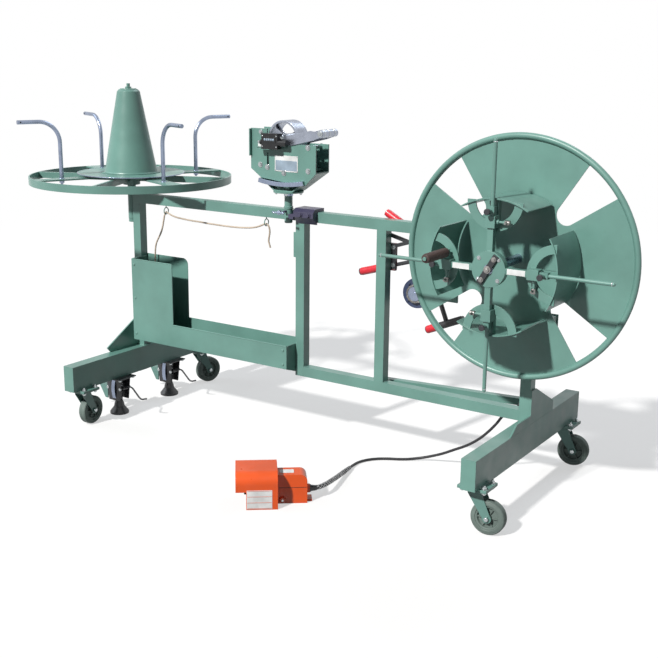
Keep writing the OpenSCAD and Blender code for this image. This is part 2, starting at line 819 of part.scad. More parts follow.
module lock_pedal(k) color(sage) translate(home)
  translate([left_leg_x - lock_pin_x, lock_places[k], lock_pin_z]) difference() {
    union() {
      rod_y(lock_boss_d, pedal_w, [0, -pedal_w / 2, 0]);
      plate_xz([[0, pedal_t], [-pedal_knee, pedal_t * 2], [-pedal_out, -pedal_fall],
        [-pedal_out, -pedal_fall - pedal_t], [-pedal_knee, pedal_t], [0, 0]], -pedal_w / 2, pedal_w);
      plate_xz([[-lock_boss_d / 2, 0], [-pedal_knee, pedal_t], [-pedal_knee - pedal_t, pedal_t],
        [-pedal_web_x, -pedal_web_z], [pedal_web_w - pedal_web_x, -pedal_web_z]],
        -pedal_w / 2, pedal_t);
      plate_xz([[-lock_boss_d / 2, 0], [-pedal_knee, pedal_t], [-pedal_knee - pedal_t, pedal_t],
        [-pedal_web_x, -pedal_web_z], [pedal_web_w - pedal_web_x, -pedal_web_z]],
        pedal_w / 2 - pedal_t, pedal_t);
    }
    rod_y(lock_pin_d + 2 * fit, pedal_w + 2 * over, [0, -pedal_w / 2 - over, 0]);
  }

release_d = 7;
release_w = 30;
release_route = [
  [5, 0, 2], [20, 0, 7], [30, 0, 10], [38, 0, 10], [46, 0, 6], [80, 0, -26], [89, 0, -31],
  [99, 0, -31], [120, 0, -24]
];

module lock_release(k) color(black) translate(home)
  translate([left_leg_x + lock_pin_x, lock_places[k], lock_pin_z]) difference() {
    union() {
      rod_y(lock_boss_d, release_w, [0, -release_w / 2, 0]);
      swept(release_route, release_d, twine_ref);
    }
    rod_y(lock_pin_d + 2 * fit, release_w + 2 * over, [0, -release_w / 2 - over, 0]);
  }

// Reel and coil drum

module flange_slot(k) {
  side = slot_r * cos(slot_taper);
  back = slot_start - slot_r * sin(slot_taper);
  out = flange_r - rim_d / 2;
  far = side + (out - back) * tan(slot_taper);
  rotate([0, 0, 45 + 90 * k]) {
    translate([slot_start, 0]) circle(r = slot_r);
    polygon([[back, -side], [out, -far], [out, far], [back, side]]);
  }
}

module reel_flange() color(sage) translate(home) translate([reel_x, flange_y, reel_z])
  rotate([90, 0, 0]) difference() {
    union() {
      linear_extrude(flange_t) difference() {
        circle(r = flange_r - rim_d / 2);
        for (k = [0:3]) flange_slot(k);
      }
      translate([0, 0, flange_t]) rotate_extrude() translate([flange_r - rim_d / 2, 0])
        circle(d = rim_d);
      rod_z(2 * boss_r, boss_len, [0, 0, -boss_len]);
    }
    rod_z(shaft_d + 2 * fit, boss_len + flange_t + 2 * over, [0, 0, -boss_len - over]);
  }

shaft_end = 10;
shaft_back = chain_y + chain_w + shaft_end;
sprocket_hub_r = 28;

module sprocket(r, x, z) {
  rod_y(2 * r - chain_t - 2 * gap, sprocket_t, [x, sprocket_y, z]);
}

module reel_shaft() color(steel) translate(home) {
  rod_y(shaft_d, shaft_back - arm_y + hub_t / 2, [reel_x, arm_y - hub_t / 2, reel_z]);
  rod_y(latch_pin_d, arm_y - hub_t / 2 - latch_back + latch_t + 2 * over,
    [reel_x, latch_back - latch_t - 2 * over, reel_z]);
  sprocket(reel_sprocket_r, reel_x, reel_z);
  rod_y(2 * sprocket_hub_r, shaft_back - sprocket_y - over, [reel_x, sprocket_y, reel_z]);
}

module at_arm(k) {
  translate([reel_x, arm_y, reel_z]) rotate([0, -90 * (k - 1), 0]) children();
}

module arm_knob() {
  rod_y(lock_screw_d, knob_h, [arm_end_r + arm_end_len / 2, -arm_tube / 2 - knob_h, 0]);
  rod_y(knob_d, knob_h, [arm_end_r + arm_end_len / 2, -arm_tube / 2 - 2 * knob_h, 0]);
}

module drum_arms() color(sage) translate(home) {
  difference() {
    union() {
      rod_y(2 * hub_r, hub_t, [reel_x, arm_y - hub_t / 2, reel_z]);
      for (k = [1:4]) at_arm(k) {
        block([shaft_d / 2 + over, -arm_tube / 2, -arm_tube / 2],
          [arm_end_r + arm_end_len - shaft_d / 2 - over, arm_tube, arm_tube]);
        arm_knob();
      }
    }
    rod_y(shaft_d + 2 * fit, 2 * arm_tube, [reel_x, arm_y - arm_tube, reel_z]);
    for (k = [1:4]) at_arm(k) {
      block([hub_r, arm_wall - arm_tube / 2, arm_wall - arm_tube / 2],
        [arm_end_r - hub_r, arm_tube - 2 * arm_wall, arm_tube - 2 * arm_wall]);
      rod_x(rod_d + 2 * fit, arm_end_len + 2 * over, [arm_end_r - over, 0, 0]);
    }
  }
  translate([reel_x, arm_y, reel_z]) {
    plate_xz([
      [-arm_end_r - arm_end_len, arm_tube / 2], [-arm_end_r - over, arm_tube / 2],
      [-arm_end_r - over, spinner_z - spinner_pin_d], [spinner_pin_d - spinner_x, spinner_z - spinner_pin_d],
      [spinner_pin_d - spinner_x, spinner_z + spinner_pin_d],
      [-spinner_x - spinner_pin_d, spinner_z + spinner_pin_d]
    ], -spinner_plate_t / 2, spinner_plate_t);
    rod_y(spinner_pin_d, spinner_len + spinner_plate_t + 2 * gap,
      [-spinner_x, -spinner_len - spinner_plate_t / 2 - 2 * gap, spinner_z]);
    rod_y(spinner_pin_d + 2 * over, bolt_head_h,
      [-spinner_x, -spinner_len - spinner_plate_t / 2 - 2 * gap - bolt_head_h, spinner_z]);
  }
}

module hub_latch() color(black) translate(home) translate([reel_x, latch_back, reel_z])
  rotate([0, -latch_turn, 0]) difference() {
    block([-latch_len / 2, -latch_t, -latch_w / 2], [latch_len, latch_t, latch_w]);
    rod_y(latch_pin_d + 2 * fit, latch_t + 2 * over, [0, -latch_t - over, 0]);
  }

spinner_waist = 3;

module spinner_grip() color([0.32, 0.22, 0.2]) translate(home)
  translate([reel_x - spinner_x, arm_y - spinner_plate_t / 2 - gap, reel_z + spinner_z])
    rotate([90, 0, 0]) rotate_extrude() polygon([
      [spinner_pin_d / 2 + fit, 0], [spinner_d / 2 - spinner_waist, 0],
      [spinner_d / 2, spinner_d / 2], [spinner_d / 2, spinner_len - spinner_d / 2],
      [spinner_d / 2 - spinner_waist, spinner_len], [spinner_pin_d / 2 + fit, spinner_len]
    ]);

module drum_shoe(k) color(sage) translate(home) at_arm(k) {
  inner = arm_tube / 2 + gap;
  outer = inner + collar_wall;
  front = shoe_front - arm_y;
  brace_front = outer;
  difference() {
    block([collar_r1, -outer, -outer], [collar_len, 2 * outer, 2 * outer]);
    block([collar_r1 - over, -inner, -inner], [collar_len + 2 * over, 2 * inner, 2 * inner]);
  }
  rod_z(lock_screw_d, lock_screw_len,
    [collar_r1 + collar_len / 2, 0, k == 3 ? outer : -outer - lock_screw_len]);
  translate([brace_centre, brace_front + brace_t, 0]) rotate([90, 0, 0]) rotate([0, 0, 90])
    rotate_extrude(angle = 180) translate([brace_r - brace_band / 2, 0]) square([brace_band, brace_t]);
  block([collar_r1, brace_front + brace_t, -stay_tube / 2],
    [drum_r - shoe_t / 2 - collar_r1, stay_tube, stay_tube]);
  translate([0, shoe_back - arm_y, 0]) rotate([90, 0, 0]) rotate([0, 0, -shoe_angle])
    rotate_extrude(angle = 2 * shoe_angle) translate([drum_r - shoe_t, 0])
      square([shoe_t, shoe_back - shoe_front]);
  for (s = [-1, 1]) translate([0, brace_front, 0])
    block([brace_centre - over, 0, s * brace_r - brace_band / 2],
      [shoe_t + brace_t - brace_band / 2 + over, brace_t, brace_band]);
}

rod_tip = 4;

module retaining_rod(k) color(sage) translate(home) at_arm(k) {
  rod_x(rod_d, rod_reach - rod_start - rod_tip, [rod_start, 0, 0]);
  translate([rod_reach - rod_tip, 0, 0]) rotate([0, 90, 0])
    cylinder(d1 = rod_d, d2 = rod_d - 2 * rod_tip, h = rod_tip);
}

// Drive

module bearing(y, face) {
  difference() {
    union() {
      rod_y(bearing_d, bearing_len, [reel_x, y, reel_z]);
      block([reel_x - bearing_lug_w / 2, face, reel_z - bearing_bolt],
        [bearing_lug_w, bearing_plate_t, 2 * bearing_bolt]);
      for (s = [-1, 1]) rod_y(bearing_lug_w, bearing_plate_t, [reel_x, face, reel_z + s * bearing_bolt]);
    }
    rod_y(shaft_d + 2 * fit, bearing_len + 2 * over, [reel_x, y - over, reel_z]);
  }
  head_y = face < 0 ? face - bolt_head_h : face + bearing_plate_t;
  for (s = [-1, 1]) hex_y(bolt_head_d, bolt_head_h, [reel_x, head_y, reel_z + s * bearing_bolt]);
}

module shaft_bearings() color(black) translate(home) {
  bearing(-bearing_len, -bearing_plate_t);
  bearing(tube, tube);
}

foot_pad = [30, 110, 50];
motor_plate_gap = 6;
motor_plate_x = motor_x + motor_r + motor_plate_gap;
motor_pad_y = 20;
motor_end_t = 14;

module drive_motor() color(navy) translate(home) difference() {
  union() {
    rod_y(2 * motor_r, motor_len - motor_end_t, [motor_x, motor_y, motor_z]);
    rod_y(2 * motor_r - motor_end_t, motor_end_t, [motor_x, motor_y + motor_len - motor_end_t, motor_z]);
    block([motor_plate_x - foot_pad[0], motor_y + motor_pad_y, motor_z - foot_pad[2] / 2], foot_pad);
  }
  rod_y(motor_shaft_d + 2 * fit, motor_len / 2, [motor_x, motor_y - over, motor_z]);
}

bracket_t = 6;
bracket_low = 43;
bracket_mid = 1;
bracket_high = 57;
bracket_reach = 202;
bracket_notch = 52;
bracket_strip_x = 95;
bracket_strip_w = 35;
lever_shift = 45;
lever_rise = 7;
lever_back = 17;
lever_x = motor_plate_x + lever_shift;
lever_z = motor_z + lever_rise;
lever_y = tube + lever_back;
lever_pin_d = 10;
lever_boss_d = 22;
lever_boss_t = 11;

module motor_bracket() color(sage) translate(home) {
  plate_yz([
    [tube, motor_z + bracket_high], [tube + bracket_reach, motor_z + bracket_high],
    [tube + bracket_reach, motor_z - bracket_low], [tube + bracket_notch, motor_z - bracket_low],
    [tube + bracket_notch, motor_z - bracket_mid], [tube, motor_z - bracket_mid]
  ], motor_plate_x, bracket_t);
  plate_xz([
    [motor_plate_x, motor_z - bracket_mid], [motor_plate_x, motor_z + bracket_high],
    [motor_plate_x + bracket_strip_x, motor_z + bracket_high],
    [motor_plate_x + bracket_strip_x, rail_top - tube_wall],
    [motor_plate_x + bracket_strip_x + bracket_strip_w, rail_top - tube_wall],
    [motor_plate_x + bracket_strip_x + bracket_strip_w, motor_z - bracket_mid]
  ], tube, bracket_t);
  rod_y(lever_pin_d, lever_y + lever_boss_t - tube + gap, [lever_x, tube, lever_z]);
  rod_y(lever_boss_d, lever_y - tube - gap, [lever_x, tube, lever_z]);
}

lever_turn = 68;
lever_len = 100;
lever_grip_d = 23;
lever_grip_left = 87;
lever_grip_right = 68;
lever_grip_turn = 23;

module drive_lever() color(black) translate(home) translate([lever_x, lever_y, lever_z]) {
  difference() {
    union() {
      rod_y(lever_boss_d, lever_boss_t, [0, 0, 0]);
      translate([0, lever_boss_t / 2, 0]) rotate([0, lever_turn, 0])
        rod_x(lever_boss_t, lever_len, [0, 0, 0]);
    }
    rod_y(lever_pin_d + 2 * fit, lever_boss_t + 2 * over, [0, -over, 0]);
  }
  translate([lever_len * cos(lever_turn), lever_boss_t / 2, -lever_len * sin(lever_turn)])
    rotate([0, -lever_grip_turn, 0])
      rod_x(lever_grip_d, lever_grip_left + lever_grip_right, [-lever_grip_left, 0, 0]);
}

module drive_sprocket() color(steel) translate(home) {
  sprocket(motor_sprocket_r, motor_x, motor_z);
  rod_y(motor_shaft_d, motor_len / 3, [motor_x, sprocket_y - over, motor_z]);
}

// Chain round the two sprockets, as one band: two arcs and the two runs between them
module chain_arc(r, start, turn) {
  rotate([0, 0, start]) rotate_extrude(angle = turn) translate([r - chain_t / 2, 0])
    square([chain_t, chain_w]);
}

module drive_chain() color(steel) translate(home) {
  lean = asin((reel_sprocket_r - motor_sprocket_r) / chain_span);
  translate([motor_x, chain_y + chain_w, motor_z]) rotate([90, 0, 0]) rotate([0, 0, chain_turn]) {
    chain_arc(motor_sprocket_r, 90 + lean, 180 - 2 * lean);
    translate([chain_span, 0, 0]) chain_arc(reel_sprocket_r, -90 - lean, 180 + 2 * lean);
    for (s = [0, 1]) mirror([0, s, 0]) rotate([0, 0, lean])
      block([0, motor_sprocket_r - chain_t / 2, 0], [chain_span * cos(lean), chain_t, chain_w]);
  }
}

control_box_size = [100, 78, 160];
control_box_z = 460;
gland_x = 1735;
gland_y = 78;
gland_d = 22;
gland_len = 25;
clip_size = [16, 3, 22];
clip_x = 1690;
lid_t = 4;

module control_box() color(sage) translate(home) {
  block([reel_x - control_box_size[0] / 2, tube, control_box_z], control_box_size);
  block([reel_x - control_box_size[0] / 2 - lid_t, tube + control_box_size[1], control_box_z - lid_t],
    [control_box_size[0] + 2 * lid_t, lid_t, control_box_size[2] + 2 * lid_t]);
  rod_z(gland_d, gland_len, [gland_x, gland_y, control_box_z - gland_len]);
  block([clip_x, tube, low_z + tube / 3], clip_size);
}

module foot_cable() color(black) translate(home) swept(cable_route, cable_d, cable_ref);

// Cable cutter

cutter_plate_t = 10;
cutter_back = 12;
cutter_y = tube + cutter_back;
cutter_block = [41, 12, 92];
cutter_block_shift = 16;
cutter_block_drop = 142;
cutter_shift = 237;
cutter_drop = 74;
cutter_block_x = mid_upright_x + cutter_block_shift;
cutter_block_z = rail_z - cutter_block_drop;
cutter_x = mid_upright_x + cutter_shift;
cutter_z = rail_z - cutter_drop;
cutter_pin_d = 14;
cutter_boss_d = 44;
cutter_bar_d = 14;
cutter_grip_d = 26;
cutter_grip_len = 100;
cutter_low_turn = 163.8;
cutter_low_len = 347;
cutter_high_turn = 208.5;
cutter_high_len = 269;
cutter_jaw = 60;
strap_h = 14;
strap_t = 6;
strap_left = 12;
strap_rise = 66;
strap_run = 258;
link_run = 75;
link_rise = 24;

module cutter_bar(turn, len) {
  rotate([0, turn, 0]) {
    rod_x(cutter_bar_d, len - cutter_grip_len / 2, [0, 0, 0]);
    rod_x(cutter_grip_d, cutter_grip_len, [len - cutter_grip_len, 0, 0]);
  }
}

module cutter_body() color(black) translate(home) {
  strap_x = mid_upright_x + strap_left;
  strap_z = cutter_z + strap_rise;
  block([mid_upright_x, tube, cutter_block_z],
    [cutter_block_x + cutter_block[0] - mid_upright_x, cutter_plate_t, cutter_block[2]]);
  block([cutter_block_x, tube, cutter_block_z], cutter_block);
  translate([cutter_x, cutter_y, cutter_z]) {
    rod_y(cutter_boss_d, cutter_plate_t, [0, 0, 0]);
    rod_y(cutter_pin_d, 2 * cutter_plate_t + 2 * gap, [0, 0, 0]);
    plate_xz([[0, -cutter_boss_d / 2], [cutter_jaw, -cutter_boss_d / 2], [cutter_jaw, -cutter_pin_d],
      [cutter_pin_d, -over]], 0, cutter_plate_t);
    translate([0, cutter_plate_t - cutter_bar_d / 2, 0]) cutter_bar(cutter_low_turn, cutter_low_len);
  }
  plate_xz([[strap_x, strap_z], [strap_x + strap_run, cutter_z + over],
    [strap_x + strap_run, cutter_z + over - strap_h], [strap_x, strap_z - strap_h]], tube, strap_t);
  rod_y(cutter_boss_d, cutter_y - tube, [cutter_x, tube, cutter_z]);
  link_x = cutter_block_x + cutter_block[0] - over;
  link_z = cutter_block_z + cutter_block[2];
  plate_xz([[link_x, link_z - strap_h], [link_x + link_run, link_z + link_rise - strap_h],
    [link_x + link_run, link_z + link_rise], [link_x, link_z]], tube, cutter_plate_t);
}

module cutter_handle() color(dark_red) translate(home)
  translate([cutter_x, cutter_y + cutter_plate_t + gap, cutter_z]) difference() {
    union() {
      rod_y(cutter_boss_d, cutter_plate_t, [0, 0, 0]);
      plate_xz([[0, cutter_boss_d / 2], [cutter_jaw, cutter_boss_d / 2], [cutter_jaw, cutter_pin_d],
        [cutter_pin_d, over]], 0, cutter_plate_t);
      translate([0, cutter_plate_t / 2, 0]) difference() {
        cutter_bar(cutter_high_turn, cutter_high_len);
        block([-cutter_boss_d / 2, -2 * cutter_plate_t - cutter_plate_t / 2, -cutter_boss_d / 2],
          [cutter_boss_d, 2 * cutter_plate_t, cutter_boss_d]);
      }
    }
    rod_y(cutter_pin_d + 2 * fit, cutter_plate_t + 2 * over, [0, -over, 0]);
  }

// Measuring head

clamp_front = -28;
clamp_left = 8;
clamp_right = 96;
clamp_low = 8;
clamp_high = 12;
clamp_lip = 6;
clamp_chamfer = 26;
sleeve_low = 8;
sleeve_high = 60;
post_head_h = 8;
post_pivot_d = 16;
post_pivot_h = 26;
post_screw_z = 36;
post_top = head_z - pan_drop - pan_disc_t - gap;
clamp_bolt_shares = [0.35, 0.75];

module rail_clamp() color(black) translate(home) {
  x0 = head_upright_x + clamp_left;
  x1 = head_upright_x + clamp_right;
  low = rail_z - clamp_low;
  high = rail_top + clamp_high;
  difference() {
    union() {
      plate_yz([
        [clamp_front, low + clamp_chamfer], [clamp_front + clamp_chamfer, low], [0, low],
        [0, rail_top], [tube, rail_top], [tube, rail_z + tube / 3], [tube + clamp_lip, rail_z + tube / 3],
        [tube + clamp_lip, high], [clamp_front / 2, high], [clamp_front, rail_top]
      ], x0, x1 - x0);
      block([post_x, clamp_front, rail_z + clamp_low], [x0 - post_x, -clamp_front, tube / 2]);
      rod_z(post_tube_d, sleeve_high + tube + sleeve_low, [post_x, post_y, rail_z - sleeve_low]);
      rod_y(lock_screw_d, lock_screw_len, [post_x, post_y - lock_screw_len, rail_z + post_screw_z]);
    }
    rod_z(post_rod_d + 2 * fit, sleeve_high + tube + sleeve_low + 2 * over,
      [post_x, post_y, rail_z - sleeve_low - over]);
  }
  for (s = clamp_bolt_shares)
    hex_y(bolt_head_d, bolt_head_h,
      [x0 + s * (x1 - x0), clamp_front - bolt_head_h, rail_z + tube / 2 + clamp_low]);
}

module head_post() color(steel) translate(home) translate([post_x, post_y, 0]) {
  rod_z(post_rod_d, post_top - rail_z + over, [0, 0, rail_z - over]);
  rod_z(post_tube_d, post_top - rail_top - sleeve_high - gap, [0, 0, rail_top + sleeve_high + gap]);
  rod_z(post_pivot_d, post_pivot_h, [0, 0, post_top]);
}

ear_w = 74;
ear_h = 50;
chamfer_left = [46, 20];
chamfer_left_h = 96;
chamfer_right = [49, 48];
pan_left = 100;
pan_right = 183;
pan_t = 4;
pan_boss_d = 34;
pan_disc_d = 112;
axle_ear_w = 38;
axle_ear_h = 15;
slot_x = 73;
slot_w = 9;
slot_low = 67;
slot_h = 46;
spacer_d = 14;
spacer_places = [[43, 67], [75, 60], [149, 43], [254, 139], [255, 56]];
nut_d = 14;
nut_h = 5;
shelf = [54, 32, 3];
shelf_x = 54;
guide_bar_w = 10;
guide_bar_h = 12;
guide_bar_left = 42;
guide_bar_right = 239;
guide_bar_sag = 10;
guide_bar_rise = 12;
plate_tag = [32, 2, 34];
plate_tag_x = 29;

module head_plate(y, lower) {
  axle_x = meter_x - head_x;
  ear_top = meter_z - head_z + axle_ear_h;
  translate([head_x, 0, head_z]) plate_xz(concat(lower, [
    [head_w, head_h], [axle_x + axle_ear_w / 2, head_h], [axle_x + axle_ear_w / 2, ear_top],
    [axle_x - axle_ear_w / 2, ear_top], [axle_x - axle_ear_w / 2, head_h], [ear_w, head_h],
    [ear_w, head_h + ear_h], [0, head_h + ear_h]
  ]), y, head_plate_t);
}

module head_box() color(sage) translate(home) {
  inner_y = head_front + head_plate_t;
  left_z = head_h - chamfer_left_h;
  head_plate(head_back - head_plate_t,
    [[0, left_z], [pan_left, -pan_drop], [pan_right, -pan_drop], [head_w, chamfer_right[1]]]);
  difference() {
    head_plate(head_front,
      [[0, left_z], chamfer_left, [head_w - chamfer_right[0], 0], [head_w, chamfer_right[1]]]);
    block([head_x + slot_x, head_front - over, head_z + slot_low],
      [slot_w, head_plate_t + 2 * over, slot_h]);
  }
  difference() {
    union() {
      translate([head_x, 0, head_z]) plate_xz([
        [0, left_z], [pan_left, -pan_drop], [pan_right, -pan_drop], [head_w, chamfer_right[1]],
        [head_w, chamfer_right[1] + pan_t], [pan_right - pan_t / 2, pan_t - pan_drop],
        [pan_left + pan_t / 2, pan_t - pan_drop], [0, left_z + pan_t]
      ], inner_y, head_inner);
      rod_z(pan_boss_d, post_pivot_h, [post_x, post_y, head_z - pan_drop]);
      rod_z(pan_disc_d, pan_disc_t, [post_x, post_y, head_z - pan_drop - pan_disc_t]);
    }
    rod_z(post_pivot_d + 2 * fit, post_pivot_h + pan_disc_t + 2 * over,
      [post_x, post_y, head_z - pan_drop - pan_disc_t - over]);
  }
  for (p = spacer_places) {
    rod_y(spacer_d, head_inner, [head_x + p[0], inner_y, head_z + p[1]]);
    hex_y(nut_d, nut_h, [head_x + p[0], head_front - nut_h, head_z + p[1]]);
    hex_y(nut_d, nut_h, [head_x + p[0], head_back, head_z + p[1]]);
  }
  rod_y(meter_axle_d, head_d + 2 * arm_t + 4 * gap,
    [meter_x, head_front - arm_t - 2 * gap, meter_z]);
  block([head_x + shelf_x, head_front - shelf[1], counter_z - shelf[2]], shelf);
  block([head_x + plate_tag_x, head_front - plate_tag[1], counter_z], plate_tag);
  span = guide_bar_right - guide_bar_left;
  radius = (span * span / 4 + guide_bar_sag * guide_bar_sag) / (2 * guide_bar_sag);
  sweep = asin(span / 2 / radius);
  translate([head_x + (guide_bar_left + guide_bar_right) / 2, head_front, head_z + guide_bar_rise - guide_bar_sag
    + radius + guide_bar_h / 2]) rotate([90, 0, 0]) rotate([0, 0, 270 - sweep])
      rotate_extrude(angle = 2 * sweep) translate([radius, 0]) square([guide_bar_h, guide_bar_w]);
}

meter_band = 6;
meter_hub_d = 34;
meter_web = 4;
meter_spokes = 3;
meter_spoke_w = 9;

module measuring_wheel() color(silver) translate(home) translate([meter_x, post_y - meter_w / 2, meter_z])
  rotate([-90, 0, 0]) difference() {
    union() {
      difference() {
        cylinder(d = meter_d, h = meter_w);
        translate([0, 0, -over]) cylinder(d = meter_d - 2 * meter_band, h = meter_w + 2 * over);
      }
      cylinder(d = meter_hub_d, h = meter_w);
      for (k = [0:meter_spokes - 1]) rotate([0, 0, 360 / meter_spokes * k])
        translate([0, -meter_spoke_w / 2, (meter_w - meter_web) / 2])
          cube([meter_d / 2 - meter_band / 2, meter_spoke_w, meter_web]);
    }
    translate([0, 0, -over]) cylinder(d = meter_axle_d + 2 * fit, h = meter_w + 2 * over);
  }

arm_t = 4;
arm_rear = head_back + gap;
arm_tube_d = 28;
arm_boss_d = 40;
arm_out = 171;
arm_up = 25;
arm_outline_shares = [[0, -0.12], [0.06, -0.16], [0.25, -0.13], [0.8, 0], [1.05, 0.09], [1, 0.17],
  [0.75, 0.2], [0.14, 0.07], [0, 0.12]];

module press_plate(y) {
  plate_xz([for (p = arm_outline_shares) [p[0] * arm_out, p[1] * arm_out]], y, arm_t);
  rod_y(arm_boss_d, arm_t, [0, y, 0]);
}

module pressure_arm() color(silver) translate(home) translate([meter_x, 0, meter_z]) {
  difference() {
    union() {
      press_plate(head_front - gap - arm_t);
      press_plate(arm_rear);
      rod_y(arm_tube_d, head_d + 2 * arm_t + 2 * gap, [arm_out, head_front - gap - arm_t, arm_up]);
    }
    rod_y(meter_axle_d + 2 * fit, head_d + 4 * arm_t, [0, head_front - 2 * arm_t, 0]);
  }
}

counter_drop = 19;
counter_z = head_top - counter_drop;
counter_size = [72, 24, 54];
counter_shift = 71;
counter_x = head_x + counter_shift;
counter_shaft_d = 26;
counter_shaft_len = 34;
counter_shaft_z = 22;

module counter() color(black) translate(home) {
  block([counter_x, head_front - shelf[1], counter_z], counter_size);
  rod_x(counter_shaft_d, counter_shaft_len,
    [counter_x + counter_size[0], head_front - shelf[1] + counter_size[1] / 2, counter_z + counter_shaft_z]);
}

// Foot switch

shell_t = 4;
hood_round = 38;
hood_floor_h = 6;
hood_nose = 35;
hood_lip_h = 62;
case_h = 102;
case_round = 24;
case_gland_z = 40;
case_gland_d = 30;
case_gland_len = 10;
lug_pin_d = 8;
lug_u = 16;
lug_z = 32;
treadle_w = 100;
treadle_len = 92;
treadle_t = 6;
treadle_rise = 14;
treadle_boss_d = 14;
strain_d = 26;
strain_len = 16;
strain_tip_d = 18;
tab_size = [17, 40, 8];

// Places a piece in the foot switch's own frame: x along its hood, z up
module at_foot() {
  translate([foot_x, foot_y, 0]) rotate([0, 0, foot_turn]) children();
}

module hood_section(grow) {
  w = hood_w - 2 * grow;
  h = hood_h - grow - (grow > 0 ? hood_floor_h : 0);
  r = hood_round - grow;
  translate([-w / 2, 0]) square([w, h - r]);
  translate([-w / 2 + r, 0]) square([w - 2 * r, h]);
  for (s = [-1, 1]) translate([s * (w / 2 - r), h - r]) circle(r = r);
}

module foot_shell() color(orange) translate(home) at_foot() {
  difference() {
    translate([case_len, 0, 0]) rotate([90, 0, 90]) linear_extrude(hood_len) hood_section(0);
    translate([case_len + shell_t, 0, hood_floor_h]) rotate([90, 0, 90])
      linear_extrude(hood_len) hood_section(shell_t);
    translate([case_len + hood_len - hood_nose, -hood_w / 2 - over, -over])
      cube([hood_nose + over, hood_w + 2 * over, hood_lip_h + over]);
  }
  difference() {
    union() {
      translate([0, -case_w / 2, 0]) cube([case_len, case_w, case_h - case_round]);
      translate([case_round, -case_w / 2, 0]) cube([case_len - case_round, case_w, case_h]);
      rod_y(2 * case_round, case_w, [case_round, -case_w / 2, case_h - case_round]);
    }
    translate([shell_t, shell_t - case_w / 2, shell_t])
      cube([case_len - 2 * shell_t, case_w - 2 * shell_t, case_h - case_round - shell_t]);
  }
  rod_x(case_gland_d, case_gland_len, [-case_gland_len, 0, case_gland_z]);
  block([-tab_size[0], -tab_size[1] / 2, 0], tab_size);
  for (s = [-1, 1]) block([case_len + shell_t, s * (treadle_w / 2 + gap + shell_t / 2) - shell_t / 2,
    hood_floor_h], [2 * lug_u, shell_t, lug_z + lug_pin_d - hood_floor_h]);
  rod_y(lug_pin_d, treadle_w + 2 * gap + 2 * shell_t,
    [case_len + shell_t + lug_u, -treadle_w / 2 - gap - shell_t, lug_z]);
}

module foot_pedal() color(black) translate(home) at_foot()
  translate([case_len + shell_t + lug_u, 0, lug_z]) difference() {
    union() {
      rod_y(treadle_boss_d, treadle_w, [0, -treadle_w / 2, 0]);
      plate_xz([[0, -treadle_t / 2], [treadle_len, treadle_rise - treadle_t / 2],
        [treadle_len, treadle_rise + treadle_t / 2], [0, treadle_t / 2]], -treadle_w / 2, treadle_w);
    }
    rod_y(lug_pin_d + 2 * fit, treadle_w + 2 * over, [0, -treadle_w / 2 - over, 0]);
  }

module mesh_grip() color(black) translate(home) {
  at_foot() {
    translate([-case_gland_len, 0, case_gland_z]) rotate([0, -90, 0])
      cylinder(d1 = strain_d, d2 = strain_tip_d, h = strain_len);
  }
  swept(grip_route, grip_d, cable_ref);
}

top_rail();
uprights();
bottom_rails();
left_leg();
right_leg();
twine_box();
tie_twine();
spindle_housing();
caster_plates();
shaft_bearings();
drive_motor();
motor_bracket();
drive_chain();
drive_sprocket();
control_box();
foot_cable();
mesh_grip();
foot_shell();
foot_pedal();
cutter_body();
cutter_handle();
drive_lever();
rail_clamp();
head_post();
head_box();
measuring_wheel();
pressure_arm();
counter();
table_ring();
hub_disc();
centre_cone();
guide_posts();
reel_flange();
reel_shaft();
drum_arms();
hub_latch();
spinner_grip();
drum_shoe(1);  // drum_shoe_1
drum_shoe(2);  // drum_shoe_2
drum_shoe(3);  // drum_shoe_3
drum_shoe(4);  // drum_shoe_4
retaining_rod(1);  // retaining_rod_1
retaining_rod(2);  // retaining_rod_2
retaining_rod(3);  // retaining_rod_3
retaining_rod(4);  // retaining_rod_4
caster_fork(0);  // caster_fork_1
caster_fork(1);  // caster_fork_2
caster_fork(2);  // caster_fork_3
caster_fork(3);  // caster_fork_4
caster_wheel(0);  // caster_wheel_1
caster_wheel(1);  // caster_wheel_2
caster_wheel(2);  // caster_wheel_3
caster_wheel(3);  // caster_wheel_4
lock_housings();
lock_pad(0);  // lock_pad_1
lock_pad(1);  // lock_pad_2
lock_pedal(0);  // lock_pedal_1
lock_pedal(1);  // lock_pedal_2
lock_release(0);  // lock_release_1
lock_release(1);  // lock_release_2
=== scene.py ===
import math

import bmesh
import bpy
import numpy as np
from mathutils import Euler, Matrix, Vector


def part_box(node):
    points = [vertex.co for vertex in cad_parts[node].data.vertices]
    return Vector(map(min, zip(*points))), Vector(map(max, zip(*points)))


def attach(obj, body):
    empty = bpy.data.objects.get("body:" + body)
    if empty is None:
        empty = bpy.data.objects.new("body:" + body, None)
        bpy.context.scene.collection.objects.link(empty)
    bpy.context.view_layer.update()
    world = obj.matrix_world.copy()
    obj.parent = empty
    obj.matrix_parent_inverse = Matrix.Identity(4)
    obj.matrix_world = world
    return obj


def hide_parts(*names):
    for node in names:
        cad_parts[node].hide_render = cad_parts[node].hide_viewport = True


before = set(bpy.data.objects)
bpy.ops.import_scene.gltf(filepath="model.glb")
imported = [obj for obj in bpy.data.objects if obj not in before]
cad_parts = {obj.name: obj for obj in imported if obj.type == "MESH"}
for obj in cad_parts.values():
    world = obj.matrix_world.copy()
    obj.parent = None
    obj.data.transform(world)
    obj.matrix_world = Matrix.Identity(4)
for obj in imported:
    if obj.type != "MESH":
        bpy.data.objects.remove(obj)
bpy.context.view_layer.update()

# All the sizes below are in millimetres in the machine's own frame: x along the frame from the
# outer face of the left upright, y from the front face of the tubes to the back, z from the floor.
home = np.array([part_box("uprights")[0].x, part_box("uprights")[0].y, 0.0]) * 1000


